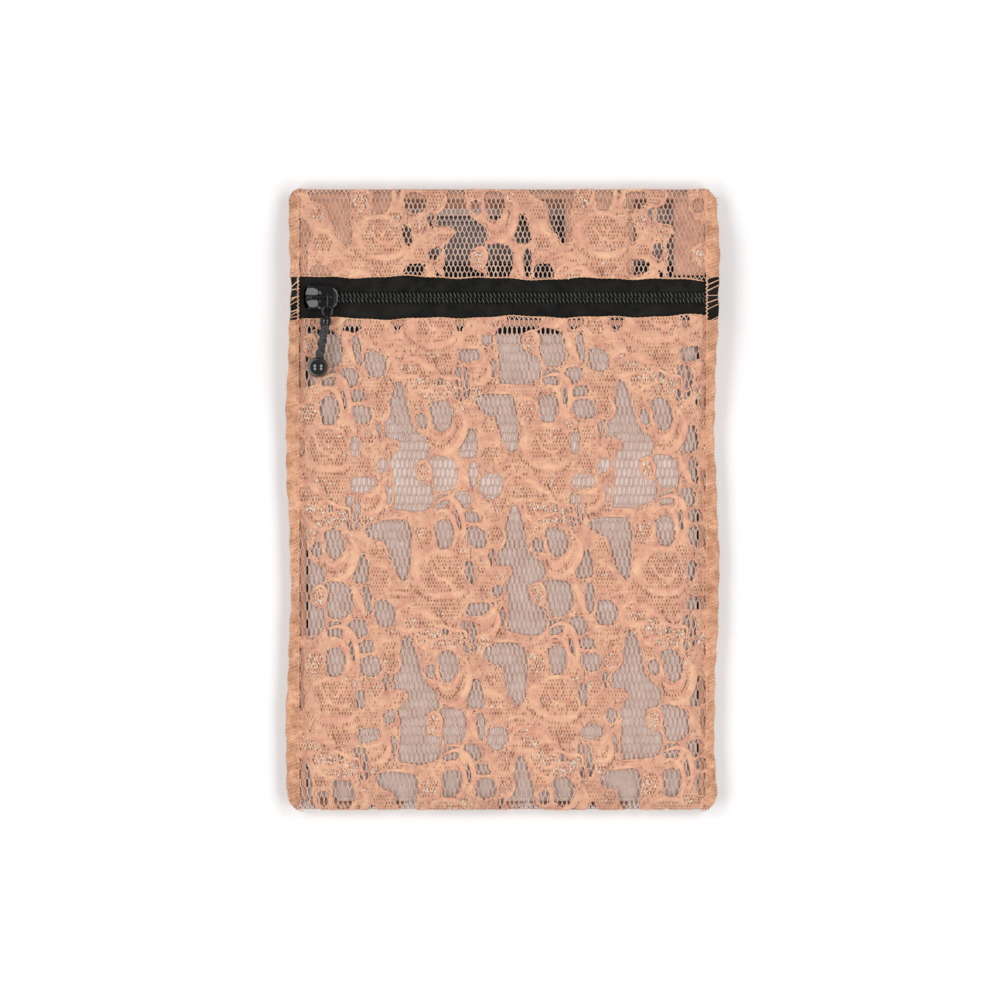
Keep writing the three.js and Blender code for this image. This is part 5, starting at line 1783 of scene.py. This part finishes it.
def gel_cells():
    cells = []
    front_face = shifted(front_liner, -LAYER)
    back_face = shifted(back_liner, LAYER)
    surfaces = {"front": (lambda x, y: front_face(x, y) - dimpled_gel(x, y), front_face),
                "back": (back_face, lambda x, y: back_face(x, y) + dimpled_gel(x, y))}
    ys = stations(CELL_BOTTOM, CELL_TOP, CELL_STEP)
    for index in range(CELL_COUNT):
        centre = (index - CELL_COUNT // 2) * CELL_SPACING
        xs = np.linspace(centre - CELL_WIDTH / 2, centre + CELL_WIDTH / 2, CELL_COLUMNS)
        for face, (under, top) in surfaces.items():
            piece = make(f"gel_{face}_{index + 1}", Build(layered(xs, ys, under, top)), [GEL])
            cells.append(settle(piece, "pouch", "cooling_gel", f"gel_cell_{face}_{index + 1}"))
    return cells


def liner():
    """The four sheets of the liner, its stitches and its gel."""
    step, row_step = LINER_STEPS
    across = crowded(-LINER_HALF, LINER_HALF, step)
    by_cells = [(i - CELL_COUNT // 2) * CELL_SPACING + side * (CELL_WIDTH / 2 + margin)
                for i in range(CELL_COUNT) for side in (-1, 1) for margin in CELL_MARGINS]
    channels = np.unique(np.round(np.concatenate([across, by_cells]), WELD_DIGITS))
    sheets = []
    for face, end, outer, inner in (("front", LINER_MOUTH, front_liner, front_inner),
                                    ("back", LINER_TOP, back_liner, back_inner)):
        ys = crowded(LINER_BOTTOM, end, row_step)
        for word, layer, xs, surface in (("cloth", "outer", across, outer),
                                         ("lining", "inner", channels, inner)):
            under, top = surface, shifted(surface, FABRIC)
            if face == "front":
                under, top = shifted(surface, -FABRIC), surface
            sheets.append(fabric(f"liner_{face}_{word}", f"liner_{face}_{layer}", xs, ys, under, top))
    return sheets, sewn_lines(), gel_cells()


def binding(word, path, across, finish):
    """Folded binding along an edge, slightly uneven."""
    wide, high = squarish(turns(EDGE_SIDES), EDGE_SQUARENESS)
    rings = []
    for i, point in enumerate(path):
        thick = BINDING_THICK + BINDING_UNEVEN * math.sin(i * BINDING_PACE)
        rings.append(point + BINDING_HALF * wide[:, None] * across + high[:, None] * (0, 0, thick))
    piece = make(f"binding_{word}", Build(loft(rings)), [finish])
    return settle(piece, "pouch", "liner_edging", f"liner_binding_{word}")


def bindings():
    """Bindings of the liner's sides and bottom, and the hems of its two panels."""
    made = []
    for side, word in ((-1, "left"), (1, "right")):
        low, high = box_mm(f"liner_binding_{word}")
        ys = stations(low[1], high[1], BINDING_STEP)
        if side > 0:
            ys = ys[::-1]
        xs = np.full(len(ys), side * (LINER_HALF + BINDING_HALF))
        made.append(binding(word, np.column_stack([xs, ys, liner_level(ys)]), (side, 0, 0), BINDING))
    low, high = box_mm("liner_binding_bottom")
    xs = stations(low[0], high[0], BINDING_STEP)
    path = at_height(at_height(xs, LINER_BOTTOM - BINDING_HALF), SEAM_Z)
    made.append(binding("bottom", path, (0, -1, 0), LINER))
    step, row_step = HEM_STEPS
    across = crowded(-LINER_HALF, LINER_HALF, step)
    for word, start, under, top in (
            ("mouth", LINER_MOUTH, shifted(front_liner, -DOUBLE_FABRIC), shifted(front_liner, HEM_RISE)),
            ("top", LINER_TOP, shifted(back_liner, -HEM_RISE), shifted(back_liner, DOUBLE_FABRIC))):
        node_name = f"liner_{word}_hem"
        ys = stations(start - HEM_LAP, box_mm(node_name)[1][1], row_step)
        made.append(fabric(f"hem_{word}", node_name, across, ys, under, top, slot="liner_edging"))
    return made


def patch():
    """Blank dark patch with a stitched border."""
    xs = stations(PATCH_LOW[0], PATCH_HIGH[0], PATCH_STEP)
    ys = stations(PATCH_LOW[1], PATCH_HIGH[1], PATCH_STEP)
    under = shifted(back_inner, LAYER)

    def top(x, y):
        return under(x, y) + PATCH_THICK + dimples(x, y, PATCH_WAVE, across=2.1, along=1.7)

    cloth = fabric("patch_cloth", "liner_blank_patch", xs, ys, under, top, PATCH, "blank_patch")
    west, south = PATCH_LOW[:2] + BORDER_INSET
    east, north = PATCH_HIGH[:2] - BORDER_INSET
    corners = np.array([(west, south), (east, south), (east, north), (west, north)])
    stitches = Build()
    for start, end in zip(corners, np.roll(corners, -1, axis=0)):
        length = np.linalg.norm(end - start)
        for place in np.arange(BORDER_START, length - BORDER_LENGTH, BORDER_EVERY):
            run = np.linspace(place, place + BORDER_LENGTH, len(BORDER_ARCH))[:, None]
            stitches.add(*stitch(start + run * (end - start) / length, top, BORDER_ARCH, BORDER_THREAD))
    return cloth, settle(make("patch_stitches", stitches, [BINDING]), "pouch", "blank_patch")


liner_sheets, liner_stitches, gel_pieces = liner()
edging = bindings()
patch_cloth, patch_stitches = patch()


# Cloth areas of the lace, worked out and not used


def declare_lace(pieces, windows, west, east, length):
    """Area of a sheet of lace: its ground, less the windows; the area is worked out and not used."""
    cloth, *trim = pieces
    width = east - west
    area = (1 - windows.share(west, east)) * width * length * MM ** 2
    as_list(trim)


def declare_soft_pieces():
    front_cloth, front_lining, back_cloth, back_lining = liner_sheets
    left_edge, right_edge, bottom_edge, mouth_hem, top_hem = edging
    declare_lace([*front_pieces, *front_backing, *seam_pieces], front_windows, -CLOTH_HALF, CLOTH_HALF,
                 FRONT_EDGE + FOLD_Y + HALF_FOLD)
    declare_lace([*back_pieces, *back_backing], back_windows, -CLOTH_HALF, CLOTH_HALF,
                 2 * FOLD_Y - FOLD_ROOM)
    spans = ((-CLOTH_HALF, -MOUTH_HALF), (-MOUTH_HALF, MOUTH_HALF), (MOUTH_HALF, CLOTH_HALF))
    for (west, east), pieces, *trim in zip(spans, band_pieces, *band_backing):
        declare_lace([*pieces, *trim], band_windows, west, east, FOLD_Y + HALF_FOLD - BAND_EDGE)
    short = LINER_MOUTH - LINER_BOTTOM
    long = LINER_TOP - LINER_BOTTOM
    gel_front, gel_back = gel_pieces[0::2], gel_pieces[1::2]
    for cloth, length, rests_on, trim in (
            (front_cloth, short, gel_front, [liner_stitches, mouth_hem]),
            (front_lining, short, [back_lining], []),
            (back_cloth, long, back_pieces[:1], [left_edge, right_edge, bottom_edge, top_hem]),
            (back_lining, long, gel_back, [])):
        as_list(rests_on)
        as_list(trim)
    for cell in gel_pieces:
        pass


declare_soft_pieces()


# Stage, in mm, and light and camera, in metres

FLOOR_HALF = 3000
FLOOR_LEVEL = -0.1
FLOOR_GLOW = 0.1
WHITE = (1, 1, 1, 1)
WORLD_LEVEL = 0.28
LAMP_SIZE = 0.45
LAMP_POWER = 2.5
LAMPS = ((-0.6, 0.25, 0.8), (-0.6, -0.3, 0.8), (0.55, 0.25, 0.8), (0.55, -0.3, 0.8))
FRAME_WIDTH = 0.3036
CAMERA_DISTANCE = 1.6
CAMERA_AIM = (-0.00076, -0.00015, 0.011)
SENSOR = 36.0


def floor_look():
    """Pale floor that the camera and reflections see as white; it keeps the shadow of the case."""
    made = look("floor", (248, 248, 248), roughness=0.8, Specular_IOR_Level=0.1, Emission_Color=WHITE)
    path = node(made, "ShaderNodeLightPath")
    seen = path.outputs["Is Camera Ray"]
    for ray in ("Is Glossy Ray", "Is Transmission Ray"):
        seen = calculate(made, "MAXIMUM", seen, path.outputs[ray])
    link(made, calculate(made, "MULTIPLY", seen, FLOOR_GLOW), shader_inputs(made)["Emission Strength"])
    return made


def floor():
    corners = [(x * FLOOR_HALF, y * FLOOR_HALF, FLOOR_LEVEL) for x, y in ((-1, -1), (1, -1), (1, 1), (-1, 1))]
    make("floor", Build((corners, [[(0, 1, 2, 3)]])), [floor_look()], smooth=False)


def lights():
    world = bpy.data.worlds.new("studio")
    world.use_nodes = True
    set_values(world.node_tree.nodes["Background"].inputs, {"Color": WHITE, "Strength": WORLD_LEVEL})
    bpy.context.scene.world = world
    for place in LAMPS:
        lamp = bpy.data.lights.new("softbox", "AREA")
        lamp.size = LAMP_SIZE
        lamp.energy = LAMP_POWER
        stand = in_scene("softbox", lamp)
        stand.location = place
        stand.rotation_euler = (-Vector(place)).to_track_quat("-Z", "Y").to_euler()


def camera():
    """Straight above the case, with the photograph's frame."""
    lens = bpy.data.cameras.new("camera")
    lens.sensor_width = SENSOR
    lens.lens = SENSOR * CAMERA_DISTANCE / FRAME_WIDTH
    eye = in_scene("camera", lens)
    eye.location = Vector(CAMERA_AIM) + Vector((0, 0, CAMERA_DISTANCE))
    bpy.context.scene.camera = eye
    bpy.context.scene.view_settings.view_transform = "Standard"


floor()
lights()
camera()
